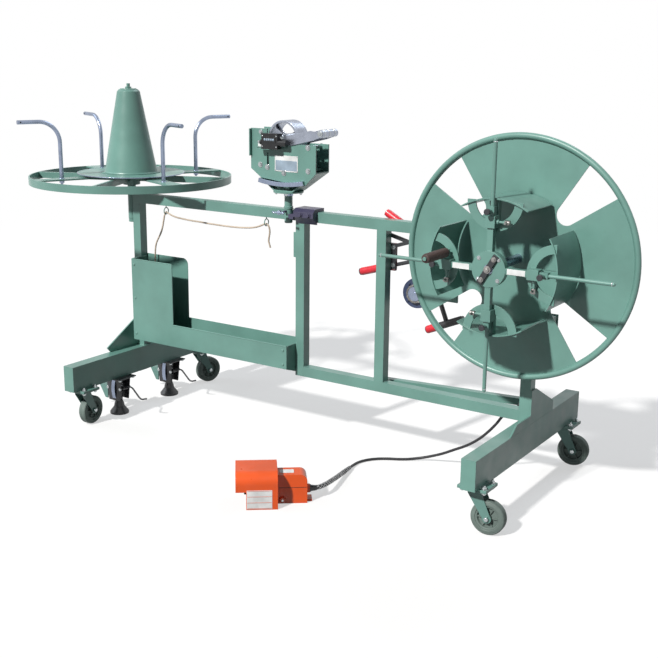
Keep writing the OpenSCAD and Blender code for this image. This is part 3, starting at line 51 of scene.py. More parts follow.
def toWorld(points):
    return (np.asarray(points, float) + home) / 1000


# Camera, placed as the photo was taken

cameraValues = {"place": (3110.8, -3255.2, 1473.5), "azimuth": 33.33, "tilt": 14.41, "roll": 0.58,
    "lens": 59.25}


def makeCamera(c):
    a, t, r = (math.radians(c[k]) for k in ("azimuth", "tilt", "roll"))
    level = Vector((-math.sin(a), math.cos(a), 0))
    right = Vector((math.cos(a), math.sin(a), 0))
    forward = level * math.cos(t) - Vector((0, 0, math.sin(t)))
    up = level * math.sin(t) + Vector((0, 0, math.cos(t)))
    x = right * math.cos(r) + up * math.sin(r)
    y = up * math.cos(r) - right * math.sin(r)
    data = bpy.data.cameras.new("photoCamera")
    data.lens = c["lens"]
    data.sensor_width = 36
    data.clip_start = 0.05
    data.clip_end = 200
    camera = bpy.data.objects.new("photoCamera", data)
    turn = Matrix((x, y, -forward)).transposed().to_4x4()
    camera.matrix_world = Matrix.Translation(Vector(toWorld(c["place"]))) @ turn
    bpy.context.scene.collection.objects.link(camera)
    bpy.context.scene.camera = camera


makeCamera(cameraValues)
print("camera placed")

# Shapes: each is (points, list of face index arrays)


def gridFaces(rows, cols, wrapRows=False, wrapCols=True):
    i = np.arange(rows if wrapRows else rows - 1)[:, None]
    j = np.arange(cols if wrapCols else cols - 1)[None, :]
    after = (i + 1) % rows
    side = (j + 1) % cols
    quads = np.stack([i * cols + j, i * cols + side, after * cols + side, after * cols + j], -1)
    return quads.reshape(-1, 4)


def revolve(profile, sides=48, closed=False):
    # x = r cos a, y = r sin a, z = h over the profile's points (r, h)
    r, h = np.asarray(profile, float).T
    a = np.linspace(0, 2 * math.pi, sides, endpoint=False)
    points = np.stack([r[:, None] * np.cos(a), r[:, None] * np.sin(a), h[:, None] + 0 * a], -1)
    return points.reshape(-1, 3), [gridFaces(len(r), sides, closed)]


def tube(path, radius, sides=12, ref=(0, 0, 1), capped=True):
    # point = path + r (a cos w + b sin w), with a and b square to the path's direction
    path = np.asarray(path, float)
    t = np.gradient(path, axis=0)
    t /= np.linalg.norm(t, axis=1)[:, None]
    a = np.cross(t, ref)
    a /= np.linalg.norm(a, axis=1)[:, None]
    b = np.cross(t, a)
    w = np.linspace(0, 2 * math.pi, sides, endpoint=False)
    r = np.asarray(radius, float)
    r = np.broadcast_to(r[:, None] if r.ndim == 1 else r, (len(path), sides))[..., None]
    around = a[:, None] * np.cos(w)[None, :, None] + b[:, None] * np.sin(w)[None, :, None]
    faces = [gridFaces(len(path), sides)]
    if capped:
        faces += [np.arange(sides)[None], np.arange(sides)[None] + (len(path) - 1) * sides]
    return (path[:, None] + r * around).reshape(-1, 3), faces


def slab(outline, axis, start, thick):
    # outline (x, z) for axis y, (y, z) for axis x, (x, y) for axis z
    flat = np.asarray(outline, float)
    n = len(flat)
    flat = np.concatenate([np.column_stack([flat, np.full(n, h)]) for h in (start, start + thick)])
    order = {"z": [0, 1, 2], "y": [0, 2, 1], "x": [2, 0, 1]}[axis]
    return flat[:, order], [np.arange(n)[None], n + np.arange(n)[None], gridFaces(2, n)]


def boxShape(low, size):
    x, y, z = size
    return place(slab([(0, 0), (x, 0), (x, y), (0, y)], "z", 0, z), low)


def place(shape, at=(0, 0, 0), turn=(0, 0, 0)):
    m = np.array(Euler([math.radians(a) for a in turn]).to_matrix())
    return shape[0] @ m.T + np.array(at, float), shape[1]


def aim(shape, direction, at=(0, 0, 0)):
    m = np.array(Vector((0, 0, 1)).rotation_difference(Vector(direction)).to_matrix())
    return shape[0] @ m.T + np.array(at, float), shape[1]


def join(shapes):
    starts = np.cumsum([0] + [len(s[0]) for s in shapes])
    return np.concatenate([s[0] for s in shapes]), [f + n for s, n in zip(shapes, starts) for f in s[1]]


def repeat(shape, turns, places):
    # one copy per 3 by 3 turn and place: all points at once, as turn @ point + place
    points = np.einsum("nij,mj->nmi", turns, shape[0]) + np.asarray(places, float)[:, None]
    step = np.arange(len(turns))[:, None, None] * len(shape[0])
    return points.reshape(-1, 3), [(f[None] + step).reshape(-1, f.shape[1]) for f in shape[1]]


def rounded(r, h, edge, steps=4):
    # profile of a disc of radius r and height h with a rounded upper edge
    a = np.linspace(0, math.pi / 2, steps + 1)
    arc = np.column_stack([r - edge + edge * np.cos(a), h - edge + edge * np.sin(a)])
    return np.concatenate([[(0, 0), (r, 0)], arc, [(0, h)]])


def hexHead(size, h):
    r = size / 2
    return revolve([(0, 0), (r, 0), (r, h * 0.82), (r * 0.86, h), (0, h)], 6)


def boltSet(size, h, tip=0):
    # washer, hexagon head and, where a nut, the end of its bolt
    washer = revolve([(0, 0), (size * 0.72, 0), (size * 0.72, 1.4), (0, 1.4)], 24)
    parts = [washer, place(hexHead(size, h), (0, 0, 1.4))]
    if tip:
        parts.append(place(revolve(rounded(size * 0.27, tip, 0.8), 12), (0, 0, 1.4 + h - 0.2)))
    return join(parts)


def smoothPath(route, step):
    # Catmull-Rom curve through the route, then even steps along its length
    p = np.asarray(route, float)
    ends = np.vstack([2 * p[0] - p[1], p, 2 * p[-1] - p[-2]])
    t = np.linspace(0, 1, 12, endpoint=False)[None, :, None]
    a, b, c, d = (ends[k:len(p) - 1 + k][:, None] for k in range(4))
    curve = 0.5 * (2 * b + (c - a) * t + (2 * a - 5 * b + 4 * c - d) * t ** 2
        + (3 * b - a - 3 * c + d) * t ** 3)
    return evenSteps(np.vstack([curve.reshape(-1, 3), p[-1:]]), step)


def evenSteps(path, step):
    path = np.asarray(path, float)
    run = np.concatenate([[0], np.cumsum(np.linalg.norm(np.diff(path, axis=0), axis=1))])
    s = np.linspace(0, run[-1], max(2, int(round(run[-1] / step)) + 1))
    return np.column_stack([np.interp(s, run, path[:, k]) for k in range(3)])


weldStep = 1.5


def ripples(s, r, pitch=4.5):
    # radius along a weld bead: r (0.8 + 0.28 |sin(pi s / pitch)|)
    return r * (0.8 + 0.28 * np.abs(np.sin(math.pi * s / pitch)))


def weld(path, r=3.2, pitch=4.5):
    path = evenSteps(path, weldStep)
    s = np.arange(len(path)) * weldStep
    # thinner over the 4 mm at both ends
    fade = np.clip(np.minimum(s, s[-1] - s) / 4, 0.25, 1)
    t = path[-1] - path[0]
    level = abs(t[2]) < 0.9 * np.linalg.norm(t) or np.linalg.norm(t) < 1
    return tube(path, ripples(s, r, pitch) * fade, 8, (0, 0, 1) if level else (1, 0, 0))


def circlePath(r, axis, centre, start, end, step):
    a = np.radians(np.linspace(start, end, max(8, int(abs(end - start) * r * math.pi / 180 / step))))
    flat = np.column_stack([r * np.cos(a), r * np.sin(a), 0 * a])
    order = {"z": [0, 1, 2], "y": [0, 2, 1], "x": [2, 0, 1]}[axis]
    return flat[:, order] + np.array(centre, float)


def weldRing(r, axis, centre, start, end, bead):
    path = circlePath(r, axis, centre, start, end, weldStep)
    ref = {"z": (0, 0, 1), "y": (0, 1, 0), "x": (1, 0, 0)}[axis]
    return tube(path, ripples(np.arange(len(path)) * weldStep, bead), 8, ref)


# Materials: every pattern reads the object's own coordinates


def newMaterial(name):
    material = bpy.data.materials.new(name)
    material.use_nodes = True
    tree = material.node_tree
    return material, tree.nodes, tree.links, tree.nodes["Principled BSDF"]


def noiseNode(nodes, links, scale, detail=3.0, roughness=0.5, stretch=None):
    where = nodes.new("ShaderNodeTexCoord").outputs["Object"]
    if stretch:
        mapping = nodes.new("ShaderNodeMapping")
        mapping.inputs["Scale"].default_value = stretch
        links.new(where, mapping.inputs["Vector"])
        where = mapping.outputs["Vector"]
    noise = nodes.new("ShaderNodeTexNoise")
    noise.inputs["Scale"].default_value = scale
    noise.inputs["Detail"].default_value = detail
    noise.inputs["Roughness"].default_value = roughness
    links.new(where, noise.inputs["Vector"])
    return noise.outputs["Fac"]


def spread(nodes, links, value, low, high, outLow, outHigh):
    node = nodes.new("ShaderNodeMapRange")
    for key, number in zip(("From Min", "From Max", "To Min", "To Max"), (low, high, outLow, outHigh)):
        node.inputs[key].default_value = number
    links.new(value, node.inputs["Value"])
    return node.outputs["Result"]


def mixColours(nodes, links, factor, a, b):
    node = nodes.new("ShaderNodeMix")
    node.data_type = "RGBA"
    links.new(factor, node.inputs[0])
    for socket, value in ((node.inputs[6], a), (node.inputs[7], b)):
        if isinstance(value, tuple):
            socket.default_value = (*value, 1.0)
        else:
            links.new(value, socket)
    return node.outputs[2]


def multiply(nodes, links, a, b):
    node = nodes.new("ShaderNodeMath")
    node.operation = "MULTIPLY"
    links.new(a, node.inputs[0])
    if isinstance(b, float):
        node.inputs[1].default_value = b
    else:
        links.new(b, node.inputs[1])
    return node.outputs[0]


def edgeMask(nodes, links, radius):
    # 1 - dot(rounded normal, true normal): rises at the edges of a piece
    bevel = nodes.new("ShaderNodeBevel")
    bevel.samples = 4
    bevel.inputs["Radius"].default_value = radius
    geometry = nodes.new("ShaderNodeNewGeometry")
    dot = nodes.new("ShaderNodeVectorMath")
    dot.operation = "DOT_PRODUCT"
    links.new(bevel.outputs["Normal"], dot.inputs[0])
    links.new(geometry.outputs["Normal"], dot.inputs[1])
    return spread(nodes, links, dot.outputs["Value"], 0.97, 0.75, 0.0, 1.0), bevel.outputs["Normal"]


def finish(nodes, links, shader, height, strength, distance, normal=None):
    bump = nodes.new("ShaderNodeBump")
    bump.inputs["Strength"].default_value = strength
    bump.inputs["Distance"].default_value = distance
    links.new(height, bump.inputs["Height"])
    if normal is not None:
        links.new(normal, bump.inputs["Normal"])
    links.new(bump.outputs["Normal"], shader.inputs["Normal"])


def shade(colour, factor):
    return tuple(min(1.0, c * factor) for c in colour)


def paint(name, colour, rough=0.36, wearAndHighlight=0.5, peel=0.12, edge=0.0012):
    # broad patches, fine dark specks, lighter paint along the edges that is partly chipped wear and partly
    # painted highlight, and an orange peel finish
    material, nodes, links, shader = newMaterial(name)
    patches = spread(nodes, links, noiseNode(nodes, links, 7, 4), 0.35, 0.65, 0.0, 1.0)
    tone = mixColours(nodes, links, patches, shade(colour, 0.9), shade(colour, 1.07))
    specks = spread(nodes, links, noiseNode(nodes, links, 210, 5, 0.7), 0.62, 0.78, 0.0, 0.35)
    tone = mixColours(nodes, links, specks, tone, shade(colour, 0.6))
    mask, normal = edgeMask(nodes, links, edge)
    chipsAndHighlights = spread(nodes, links, noiseNode(nodes, links, 45, 6, 0.65), 0.48, 0.66, 0.0, wearAndHighlight)
    # the lighter edge colour below stands partly for chipped paint and partly for a painted highlight along
    # the edges
    bare = tuple(min(1.0, c * 1.25 + 0.08) for c in colour)
    tone = mixColours(nodes, links, multiply(nodes, links, mask, chipsAndHighlights), tone, bare)
    links.new(tone, shader.inputs["Base Color"])
    gloss = spread(nodes, links, noiseNode(nodes, links, 16, 4), 0.3, 0.7, rough - 0.07, rough + 0.1)
    links.new(gloss, shader.inputs["Roughness"])
    shader.inputs["Coat Weight"].default_value = 0.06
    shader.inputs["Coat Roughness"].default_value = 0.25
    finish(nodes, links, shader, noiseNode(nodes, links, 420, 2), peel, 0.0006, normal)
    return material


def metal(name, colour, rough=0.3, stretch=(1, 1, 1), stain=0.75, edge=0.0008):
    # darker stains, and streaks drawn out along the axis with the small stretch
    material, nodes, links, shader = newMaterial(name)
    patches = spread(nodes, links, noiseNode(nodes, links, 28, 5, 0.6), 0.4, 0.7, 0.0, 1.0)
    tone = mixColours(nodes, links, patches, colour, shade(colour, stain))
    links.new(tone, shader.inputs["Base Color"])
    shader.inputs["Metallic"].default_value = 1.0
    streaks = noiseNode(nodes, links, 260, 3, 0.6, stretch)
    gloss = spread(nodes, links, streaks, 0.3, 0.7, rough - 0.1, rough + 0.14)
    links.new(gloss, shader.inputs["Roughness"])
    normal = edgeMask(nodes, links, edge)[1]
    finish(nodes, links, shader, streaks, 0.1, 0.0004, normal)
    return material


def soft(name, colour, rough=0.72, grain=600, depth=0.25, sheen=0.0):
    # rubber, plastic, fibre and paper: soft patches and a fine grain
    material, nodes, links, shader = newMaterial(name)
    patches = spread(nodes, links, noiseNode(nodes, links, 22, 4), 0.35, 0.7, 0.0, 1.0)
    tone = mixColours(nodes, links, patches, shade(colour, 0.82), shade(colour, 1.15))
    links.new(tone, shader.inputs["Base Color"])
    fine = noiseNode(nodes, links, 60, 3)
    gloss = spread(nodes, links, fine, 0.3, 0.7, rough - 0.08, min(1.0, rough + 0.12))
    links.new(gloss, shader.inputs["Roughness"])
    shader.inputs["Sheen Weight"].default_value = sheen
    normal = edgeMask(nodes, links, 0.0008)[1]
    finish(nodes, links, shader, noiseNode(nodes, links, grain, 3), depth, 0.0005, normal)
    return material


colours = {
    "sage": (0.125, 0.262, 0.226), "castor": (0.105, 0.215, 0.19), "black": (0.022, 0.024, 0.028),
    "clamp": (0.045, 0.042, 0.085), "red": (0.62, 0.02, 0.035), "motor": (0.035, 0.05, 0.105),
    "orange": (0.72, 0.085, 0.008), "box": (0.125, 0.262, 0.226), "steel": (0.30, 0.35, 0.46),
    "chain": (0.30, 0.29, 0.28), "iron": (0.035, 0.04, 0.045), "aluminium": (0.36, 0.39, 0.46),
    "wheel": (0.12, 0.16, 0.145), "grip": (0.045, 0.025, 0.022), "pedal": (0.02, 0.02, 0.022),
    "cable": (0.014, 0.014, 0.017), "counter": (0.006, 0.0065, 0.008), "twine": (0.52, 0.43, 0.34),
}

materials = {
    "sage_paint": paint("sagePaint", colours["sage"]),
    "caster_paint": paint("casterPaint", colours["castor"], 0.42, 0.7),
    "black_paint": paint("blackPaint", colours["black"], 0.34, 0.35),
    "clamp_paint": paint("clampPaint", colours["clamp"], 0.4, 0.5),
    "red_paint": paint("redPaint", colours["red"], 0.28, 0.3),
    "motor_paint": paint("motorPaint", colours["motor"], 0.38, 0.3),
    "orange_paint": paint("orangePaint", colours["orange"], 0.33, 0.25, 0.2),
    "box_paint": paint("boxPaint", colours["box"]),
    "bare_steel": metal("bareSteel", colours["steel"], 0.26, (1, 1, 0.1)),
    "chain_steel": metal("chainSteel", colours["chain"], 0.4, (1, 1, 1), 0.5),
    "bearing_iron": paint("bearingIron", colours["iron"], 0.5, 0.5, 0.35),
    "bare_aluminium": metal("bareAluminium", colours["aluminium"], 0.3, (1, 0.12, 1), 0.85),
    "wheel_rubber": soft("wheelRubber", colours["wheel"], 0.6),
    "grip_rubber": soft("gripRubber", colours["grip"], 0.6, 500, 0.4),
    "pedal_rubber": soft("pedalRubber", colours["pedal"], 0.7),
    "cable_jacket": soft("cableJacket", colours["cable"], 0.55, 900, 0.15),
    "counter_plastic": soft("counterPlastic", colours["counter"], 0.24, 900, 0.06),
    "twine_fibre": soft("twineFibre", colours["twine"], 0.9, 1400, 0.9, 0.4),
}
extras = {
    "bright": metal("brightSteel", (0.46, 0.49, 0.50), 0.22, (1, 1, 1), 0.85, 0.0004),
    # near-black: painted shade inside the post tip holes, and the dark seam lines of the foot switch
    "dark": paint("holeShadeAndSeam", (0.006, 0.007, 0.008), 0.8, 0.0),
    "label": soft("bareLabel", (0.72, 0.74, 0.74), 0.45, 900, 0.05),
    "labelField": soft("labelField", (0.28, 0.36, 0.44), 0.5, 900, 0.05),
    "paleRubber": soft("paleRubber", (0.42, 0.46, 0.42), 0.8),
    # red darkened by painted shade, for the cutter block cover that lies in shade
    "darkRed": paint("redInPaintedShadePaint", (0.075, 0.006, 0.014), 0.4, 0.3),
    "redGrip": soft("redGrip", colours["red"], 0.32, 300, 0.08),
    "blackGrip": soft("blackGrip", (0.018, 0.017, 0.019), 0.5, 500, 0.2),
    "braid": soft("braidSleeve", (0.012, 0.012, 0.014), 0.6, 700, 0.3),
    "braidWire": metal("braidWire", (0.62, 0.62, 0.63), 0.3, (1, 1, 1), 0.3),
}

for name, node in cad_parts.items():
    slotName = next((s.name for s in node.material_slots if s.name in materials), None)
    node.data.materials.clear()
    node.data.materials.append(materials[slotName] if slotName else materials["sage_paint"])
print("materials made")


def makePiece(name, shapes, material, body, slotName=None, bevel=0.0, sharp=38):
    # where no slot is named, slotName is set to the material's name
    if slotName is None:
        slotName = material
    shape = join(shapes)
    mesh = bpy.data.meshes.new(name)
    mesh.from_pydata(toWorld(shape[0]), [], [row for f in shape[1] for row in f.tolist()])
    work = bmesh.new()
    work.from_mesh(mesh)
    bmesh.ops.remove_doubles(work, verts=work.verts, dist=1e-6)
    bmesh.ops.recalc_face_normals(work, faces=work.faces)
    work.to_mesh(mesh)
    work.free()
    mesh.polygons.foreach_set("use_smooth", np.ones(len(mesh.polygons), bool))
    mesh.set_sharp_from_angle(angle=math.radians(sharp))
    mesh.materials.append(materials.get(material) or extras[material])
    piece = bpy.data.objects.new(name, mesh)
    bpy.context.scene.collection.objects.link(piece)
    if bevel:
        soften = piece.modifiers.new("edges", "BEVEL")
        soften.width = bevel / 1000
        soften.segments = 2
        soften.limit_method = "ANGLE"
        soften.angle_limit = math.radians(40)
    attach(piece, body)
    return piece


# Cords, along the same routes as in the part's source

footCord = {
    "diameter": 10, "sides": 16, "ref": (1, -1, 0), "step": 6,
    "grip": 17, "gripPoints": 10, "gripStep": 1.5, "taper": 60, "wires": 4, "wire": 0.75, "lay": 62,
    "route": [
        [1186, -432, 40], [1197, -421, 40], [1204, -406, 39], [1206, -386, 38], [1204, -360, 35],
        [1198, -328, 31], [1188, -282, 25], [1177, -234, 19], [1166, -184, 14], [1156, -135, 10],
        [1150, -98, 7], [1150, -62, 6], [1164, -26, 6], [1190, 6, 6], [1222, 29, 6], [1259, 49, 6],
        [1288, 68, 7], [1313, 86, 10], [1338, 96, 16], [1363, 100, 25], [1408, 98, 45],
        [1458, 90, 73], [1518, 78, 108], [1568, 68, 146], [1608, 60, 186], [1638, 54, 222],
        [1656, 50, 248], [1676, 46, 270], [1698, 46, 284], [1714, 48, 298], [1724, 54, 318],
        [1729, 62, 344], [1733, 72, 376], [1735, 78, 404], [1735, 78, 435],
    ],
}
twineCord = {
    "diameter": 7, "sides": 15, "lay": 26, "strands": 3, "step": 1.5,
    "route": [
        [97, 19, 624], [98, 19, 645], [99, 19, 666], [101, 19, 682], [104, 19, 696],
        [110, 19, 710], [118, 19, 724], [127, 19, 738], [135, 19, 752], [141, 19, 768],
        [146, 19, 786], [151, 19, 806], [156, 19, 824], [165, 19, 836], [178, 19, 831],
        [198, 19, 824], [221, 19, 819], [244, 19, 817], [268, 19, 815], [304, 19, 813],
        [341, 19, 812], [379, 19, 810], [417, 19, 809], [458, 19, 808], [500, 19, 808],
        [541, 19, 809], [570, 19, 811], [599, 19, 814], [622, 19, 819], [642, 19, 826],
        [656, 19, 832], [669, 19, 835], [678, 19, 829], [683, 19, 817], [684, 19, 802],
        [681, 19, 786], [679, 19, 770], [683, 19, 757], [687, 19, 745],
    ],
}


def makeFootCord(c):
    path = smoothPath(c["route"], c["step"])
    half = c["diameter"] / 2
    cord = makePiece("footSwitchCable", [tube(path, np.full(len(path), half), c["sides"], c["ref"])],
        "cable_jacket", "frame")
    grip = smoothPath(c["route"][:c["gripPoints"]], c["gripStep"])
    s = np.arange(len(grip)) * c["gripStep"]
    # the sleeve keeps its width and narrows to the cable at its end
    taper = np.clip((s[-1] - s) / c["taper"], 0, 1) ** 0.6
    radius = half + 0.3 + (c["grip"] / 2 - half - 1.2) * taper
    braid = makePiece("cableMeshGrip", [tube(grip, radius, 24, c["ref"])], "braid", "frame",
        "cable_jacket", sharp=70)
    # wires cross on the sleeve: p = path + (r + 0.4) (n cos w + b sin w), w = w0 +- 2 pi s / lay
    along = np.gradient(grip, axis=0)
    along /= np.linalg.norm(along, axis=1)[:, None]
    n = np.cross(along, (0, 0, 1.0))
    n /= np.linalg.norm(n, axis=1)[:, None]
    b = np.cross(along, n)
    wires = []
    for way in (-1, 1):
        for start in range(c["wires"]):
            w = 2 * math.pi * (start / c["wires"] + way * s / c["lay"])
            turn = (radius + 0.4)[:, None] * (n * np.cos(w)[:, None] + b * np.sin(w)[:, None])
            wires.append(tube(grip + turn, np.full(len(grip), c["wire"]), 6, (0.3, 0.2, 1)))
    mesh = makePiece("cableMeshWires", wires, "braidWire", "frame", "cable_jacket", sharp=70)
    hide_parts("foot_cable")
    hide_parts("mesh_grip")


def makeTwine(c):
    path = smoothPath(c["route"], c["step"])
    s = np.arange(len(path))[:, None] * c["step"]
    w = np.linspace(0, 2 * math.pi, c["sides"], endpoint=False)[None]
    # three strands: r = R (0.82 + 0.18 |cos(1.5 (w + 2 pi s / lay))|)
    wave = np.abs(np.cos(c["strands"] / 2 * (w + 2 * math.pi * s / c["lay"])))
    radius = c["diameter"] / 2 * (0.82 + 0.18 * wave)
    cord = makePiece("bindingTwine", [tube(path, radius, c["sides"], (0, 1, 0))], "twine_fibre", "frame",
        sharp=80)
    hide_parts("tie_twine")


makeFootCord(footCord)
makeTwine(twineCord)
print("cords made")

# Frame: weld beads where tubes meet

frameWelds = {
    "bead": 3.0, "tube": 38, "railLow": 864, "lowRail": 268, "legTop": 262, "uprights": (0, 1740),
    "joints": [38, 818, 856, 1168, 1206, 1740], "lowJoints": [856, 1168, 1206, 1740],
    "legEnds": (-150, 188), "plateZ": 160.5, "plateYs": (-341, 379),
    "plateXs": (-6.5, 44.5, 1733.5, 1784.5),
    "housing": (-20, 19), "housingZs": (897, 812),
}


def makeFrameWelds(c):
    w, r = c["tube"], c["bead"]
    low, high = c["lowRail"], c["lowRail"] + w
    beads = [weld([(x, 2, c["railLow"]), (x, w - 2, c["railLow"])], r) for x in c["joints"]]
    beads += [weld([(x, 2, high), (x, w - 2, high)], r) for x in c["lowJoints"]]
    beads += [weld([(x, 2, low), (x, w - 2, low)], r) for x in (856, 1740)]
    z = c["legTop"]
    for x0 in c["uprights"]:
        beads += [weld([(x0 + 1, y, z), (x0 + w - 1, y, z)], r) for y in (0, w)]
        beads += [weld([(x, 1, z), (x, w - 1, z)], r) for x in (x0, x0 + w)]
    for x in (0.5, 1777.5):
        beads += [weld([(x, end, z), (x, y, z)], r * 0.9) for end, y in zip(c["legEnds"], (-2, w + 2))]
    beads += [weld([(-0.5, y, 266), (-0.5, y, 376)], r * 0.8) for y in (-0.5, w + 0.5)]
    beads += [weld([(x, y - 40, c["plateZ"]), (x, y + 40, c["plateZ"])], r * 0.8)
        for x in c["plateXs"] for y in c["plateYs"]]
    beads += [weldRing(17.5, "z", (*c["housing"], z), 0, 180, 2.4) for z in c["housingZs"]]
    makePiece("frameWelds", beads, "sage_paint", "frame", sharp=80)


hemValues = {
    "r": 2.3, "front": -59, "side": 38,
    "runs": [
        [(40, -58, 642), (253, -58, 642)], [(254, -58, 640), (254, -58, 395)],
        [(256, -58, 392.5), (816, -58, 392.5)], [(39, -56, 642), (39, 34, 642)],
        [(817, -56, 392), (817, 36, 392)],
    ],
    "frontRivets": [(52, 330), (52, 480), (52, 620), (800, 320), (800, 375)],
    "sideRivets": [(-40, 330), (-40, 620), (-40, 475)],
}


def makeBoxHems(c):
    # rolled edges of the twine box and tray, and the round rivets that hold them to the uprights
    hems = []
    for run in c["runs"]:
        path = evenSteps(run, 20)
        ref = (1, 0, 0) if abs(run[1][2] - run[0][2]) > 50 else (0, 0, 1)
        hems.append(tube(path, np.full(len(path), c["r"]), 10, ref))
    makePiece("boxHems", hems, "box_paint", "frame")
    head = revolve(rounded(5.5, 2.6, 2.2), 20)
    rivets = [aim(head, (0, -1, 0), (x, c["front"], z)) for x, z in c["frontRivets"]]
    rivets += [aim(head, (-1, 0, 0), (c["side"], y, z)) for y, z in c["sideRivets"]]
    makePiece("boxRivets", rivets, "box_paint", "frame")


# Casters: kingpin x and y, heading, and the wheel's own frame

casterValues = {
    "places": [(1759, -341), (1759, 379), (19, -341), (19, 379)], "headings": [5, 10, 95, 70],
    "trail": 42, "radius": 57, "half": 16, "ribs": 6, "boltX": 38, "boltY": 30, "plate": (150, 160),
}


def atWheel(shape, c, k):
    shape = place(place(shape, (0, 0, 0), (90, 0, 0)), (c["trail"], 0, c["radius"]))
    return place(shape, (*c["places"][k], 0), (0, 0, c["headings"][k]))


def makeWheels(c):
    # tyre and core profiles over half the width; the other half is their mirror image
    h = c["half"]
    low = np.array([(40.5, 1.5 - h), (42, -h), (50, -h), (51.2, 0.8 - h), (52.5, 0.3 - h), (55, 1.6 - h),
        (56.5, 4 - h), (57, 7 - h), (57, -3.2), (56.1, -2.2)])
    tyre = revolve(np.vstack([low, low[::-1] * [1, -1]]), 64, True)
    low = np.array([(5.05, -17), (12.5, -17), (14, -15.5), (14, -6), (32, -4.5), (34.5, -12.5),
        (36, -13.5), (41, -13.5)])
    core = revolve(np.vstack([low, low[::-1] * [1, -1]]), 48, True)
    rib = boxShape((13, -1.7, -11), (22, 3.4, 22))
    ribs = [place(rib, (0, 0, 0), (0, 0, 360 / c["ribs"] * n)) for n in range(c["ribs"])]
    low = np.array([(6, 16.8), (10.5, 16.8), (11, 17.4), (6, 17.4)])
    seals = [revolve(low * [1, s], 32, True) for s in (-1, 1)]
    for k in range(4):
        body = "wheel_%d" % (k + 1)
        tread = makePiece("wheelTyre%d" % (k + 1), [atWheel(tyre, c, k)], "wheel_rubber", body)
        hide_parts("caster_wheel_%d" % (k + 1))
        parts = [atWheel(s, c, k) for s in [core] + ribs]
        makePiece("wheelCore%d" % (k + 1), parts, "wheel_rubber", body, bevel=0.5)
        parts = [atWheel(s, c, k) for s in seals]
        makePiece("wheelSeals%d" % (k + 1), parts, "bright", body, "bare_steel")


def makeCasterFittings(c):
    dome = revolve(rounded(7.5, 4, 3.4), 24)
    nut = join([place(dome, (0, 0, 26)), place(dome, (0, 0, -26), (180, 0, 0))])
    for k in range(4):
        makePiece("axleNuts%d" % (k + 1), [atWheel(nut, c, k)], "bright", "fork_%d" % (k + 1), "bare_steel")
    bolts, rings = [], []
    race = revolve([(29, 0), (31.5, 0.8), (31.5, 3.4), (29, 4.2)], 48, True)
    low, high = c["plate"]
    for x, y in c["places"]:
        for sx in (-1, 1):
            for sy in (-1, 1):
                boltX, boltY = x + c["boltX"] * sx, y + c["boltY"] * sy
                bolts.append(aim(boltSet(15, 6, 5), (0, 0, 1), (boltX, boltY, high)))
                bolts.append(aim(boltSet(15, 6, 3), (0, 0, -1), (boltX, boltY, low)))
        rings.append(place(race, (x, y, low - 5.4)))
    makePiece("casterBolts", bolts, "bright", "frame", "caster_paint")
    makePiece("casterRaces", rings, "caster_paint", "frame", bevel=0.3)


# Floor locks under the left leg

lockValues = {
    "x": 19, "ys": (-141, 169), "boltX": 46, "boltY": 38, "pinX": 34, "pinZ": 112,
    "spring": {"r": 18, "wire": 1.3, "turns": 6.0, "low": 92, "high": 150, "points": 260},
    "tread": {"run": 66, "drop": 32, "start": 51, "up": 8.2, "ribs": 7}, "bootZ": 30.2,
}


def makeLocks(c):
    bolts, strips, springs, pins = [], [], [], []
    a = np.radians(np.linspace(-42, 42, 22))
    v = c["spring"]
    w = np.linspace(0, 2 * math.pi * v["turns"], v["points"])
    rise = np.linspace(v["low"], v["high"], v["points"])
    for y in c["ys"]:
        for sx in (-1, 1):
            for sy in (-1, 1):
                at = (c["x"] + sx * c["boltX"], y + sy * c["boltY"], 156)
                bolts.append(aim(boltSet(12, 5, 0), (0, 0, -1), at))
        # formed strip over the front of the housing: y = -27 - 7 cos(2a), z = 108 + 58 sin(a)
        edge = np.column_stack([-27 - 7 * np.cos(2 * a), 108 + 58 * np.sin(a)])
        outline = np.concatenate([edge, edge[::-1] + np.array([2.0, 0])])
        strips.append(place(slab(outline, "x", c["x"] - 9, 18), (0, y, 0)))
        pin = revolve(rounded(6.5, 3, 1.4), 24)
        pins += [aim(pin, (0, s, 0), (c["x"] + t * c["pinX"], y + s * 27, c["pinZ"]))
            for s in (-1, 1) for t in (-1, 1)]
        coil = np.column_stack([c["x"] + v["r"] * np.cos(w), y + v["r"] * np.sin(w), rise])
        springs.append(tube(coil, np.full(v["points"], v["wire"]), 8, (0, 0, 1)))
    makePiece("lockBolts", bolts, "bright", "frame", "bare_steel")
    makePiece("lockStrips", strips, "bare_steel", "frame", bevel=0.4)
    makePiece("lockPins", pins, "bright", "frame", "bare_steel")
    makePiece("lockSprings", springs, "bright", "frame", "bare_steel")
    # rubber tread on the sloping part of the pedal, from its knee to its tip
    v = c["tread"]
    length = math.hypot(v["run"], v["drop"]) - 4
    parts = [boxShape((0, -23, 0), (length, 46, 3))]
    parts += [boxShape((6 + 9 * n, -22, 2.6), (4.5, 44, 2.2)) for n in range(v["ribs"])]
    slope = math.degrees(math.atan2(v["drop"], v["run"]))
    tread = place(place(join(parts), (0, 0, 0), (0, slope, 0)), (0, 0, 0), (0, 0, 180))
    boot = revolve([(10.2, 0), (22, 0), (20, 12), (14.6, 26), (10.2, 26)], 36, True)
    for k, y in enumerate(c["ys"]):
        makePiece("lockBoot%d" % (k + 1), [place(boot, (c["x"], y, c["bootZ"]))], "black_paint",
            "pad_%d" % (k + 1), bevel=0.5)
        at = (c["x"] - c["pinX"] - v["start"], y, c["pinZ"] + v["up"])
        makePiece("pedalTread%d" % (k + 1), [place(tread, at)], "paleRubber", "lock_pedal_%d" % (k + 1),
            "sage_paint", 0.4)


# Turntable

tableValues = {"x": -20, "y": 19, "spoke": 68, "post": 297, "tip": 463, "disc": 974, "capZ": 1316}


def atTable(shape, c, angle, z=0):
    return place(shape, (c["x"], c["y"], z), (0, 0, angle))


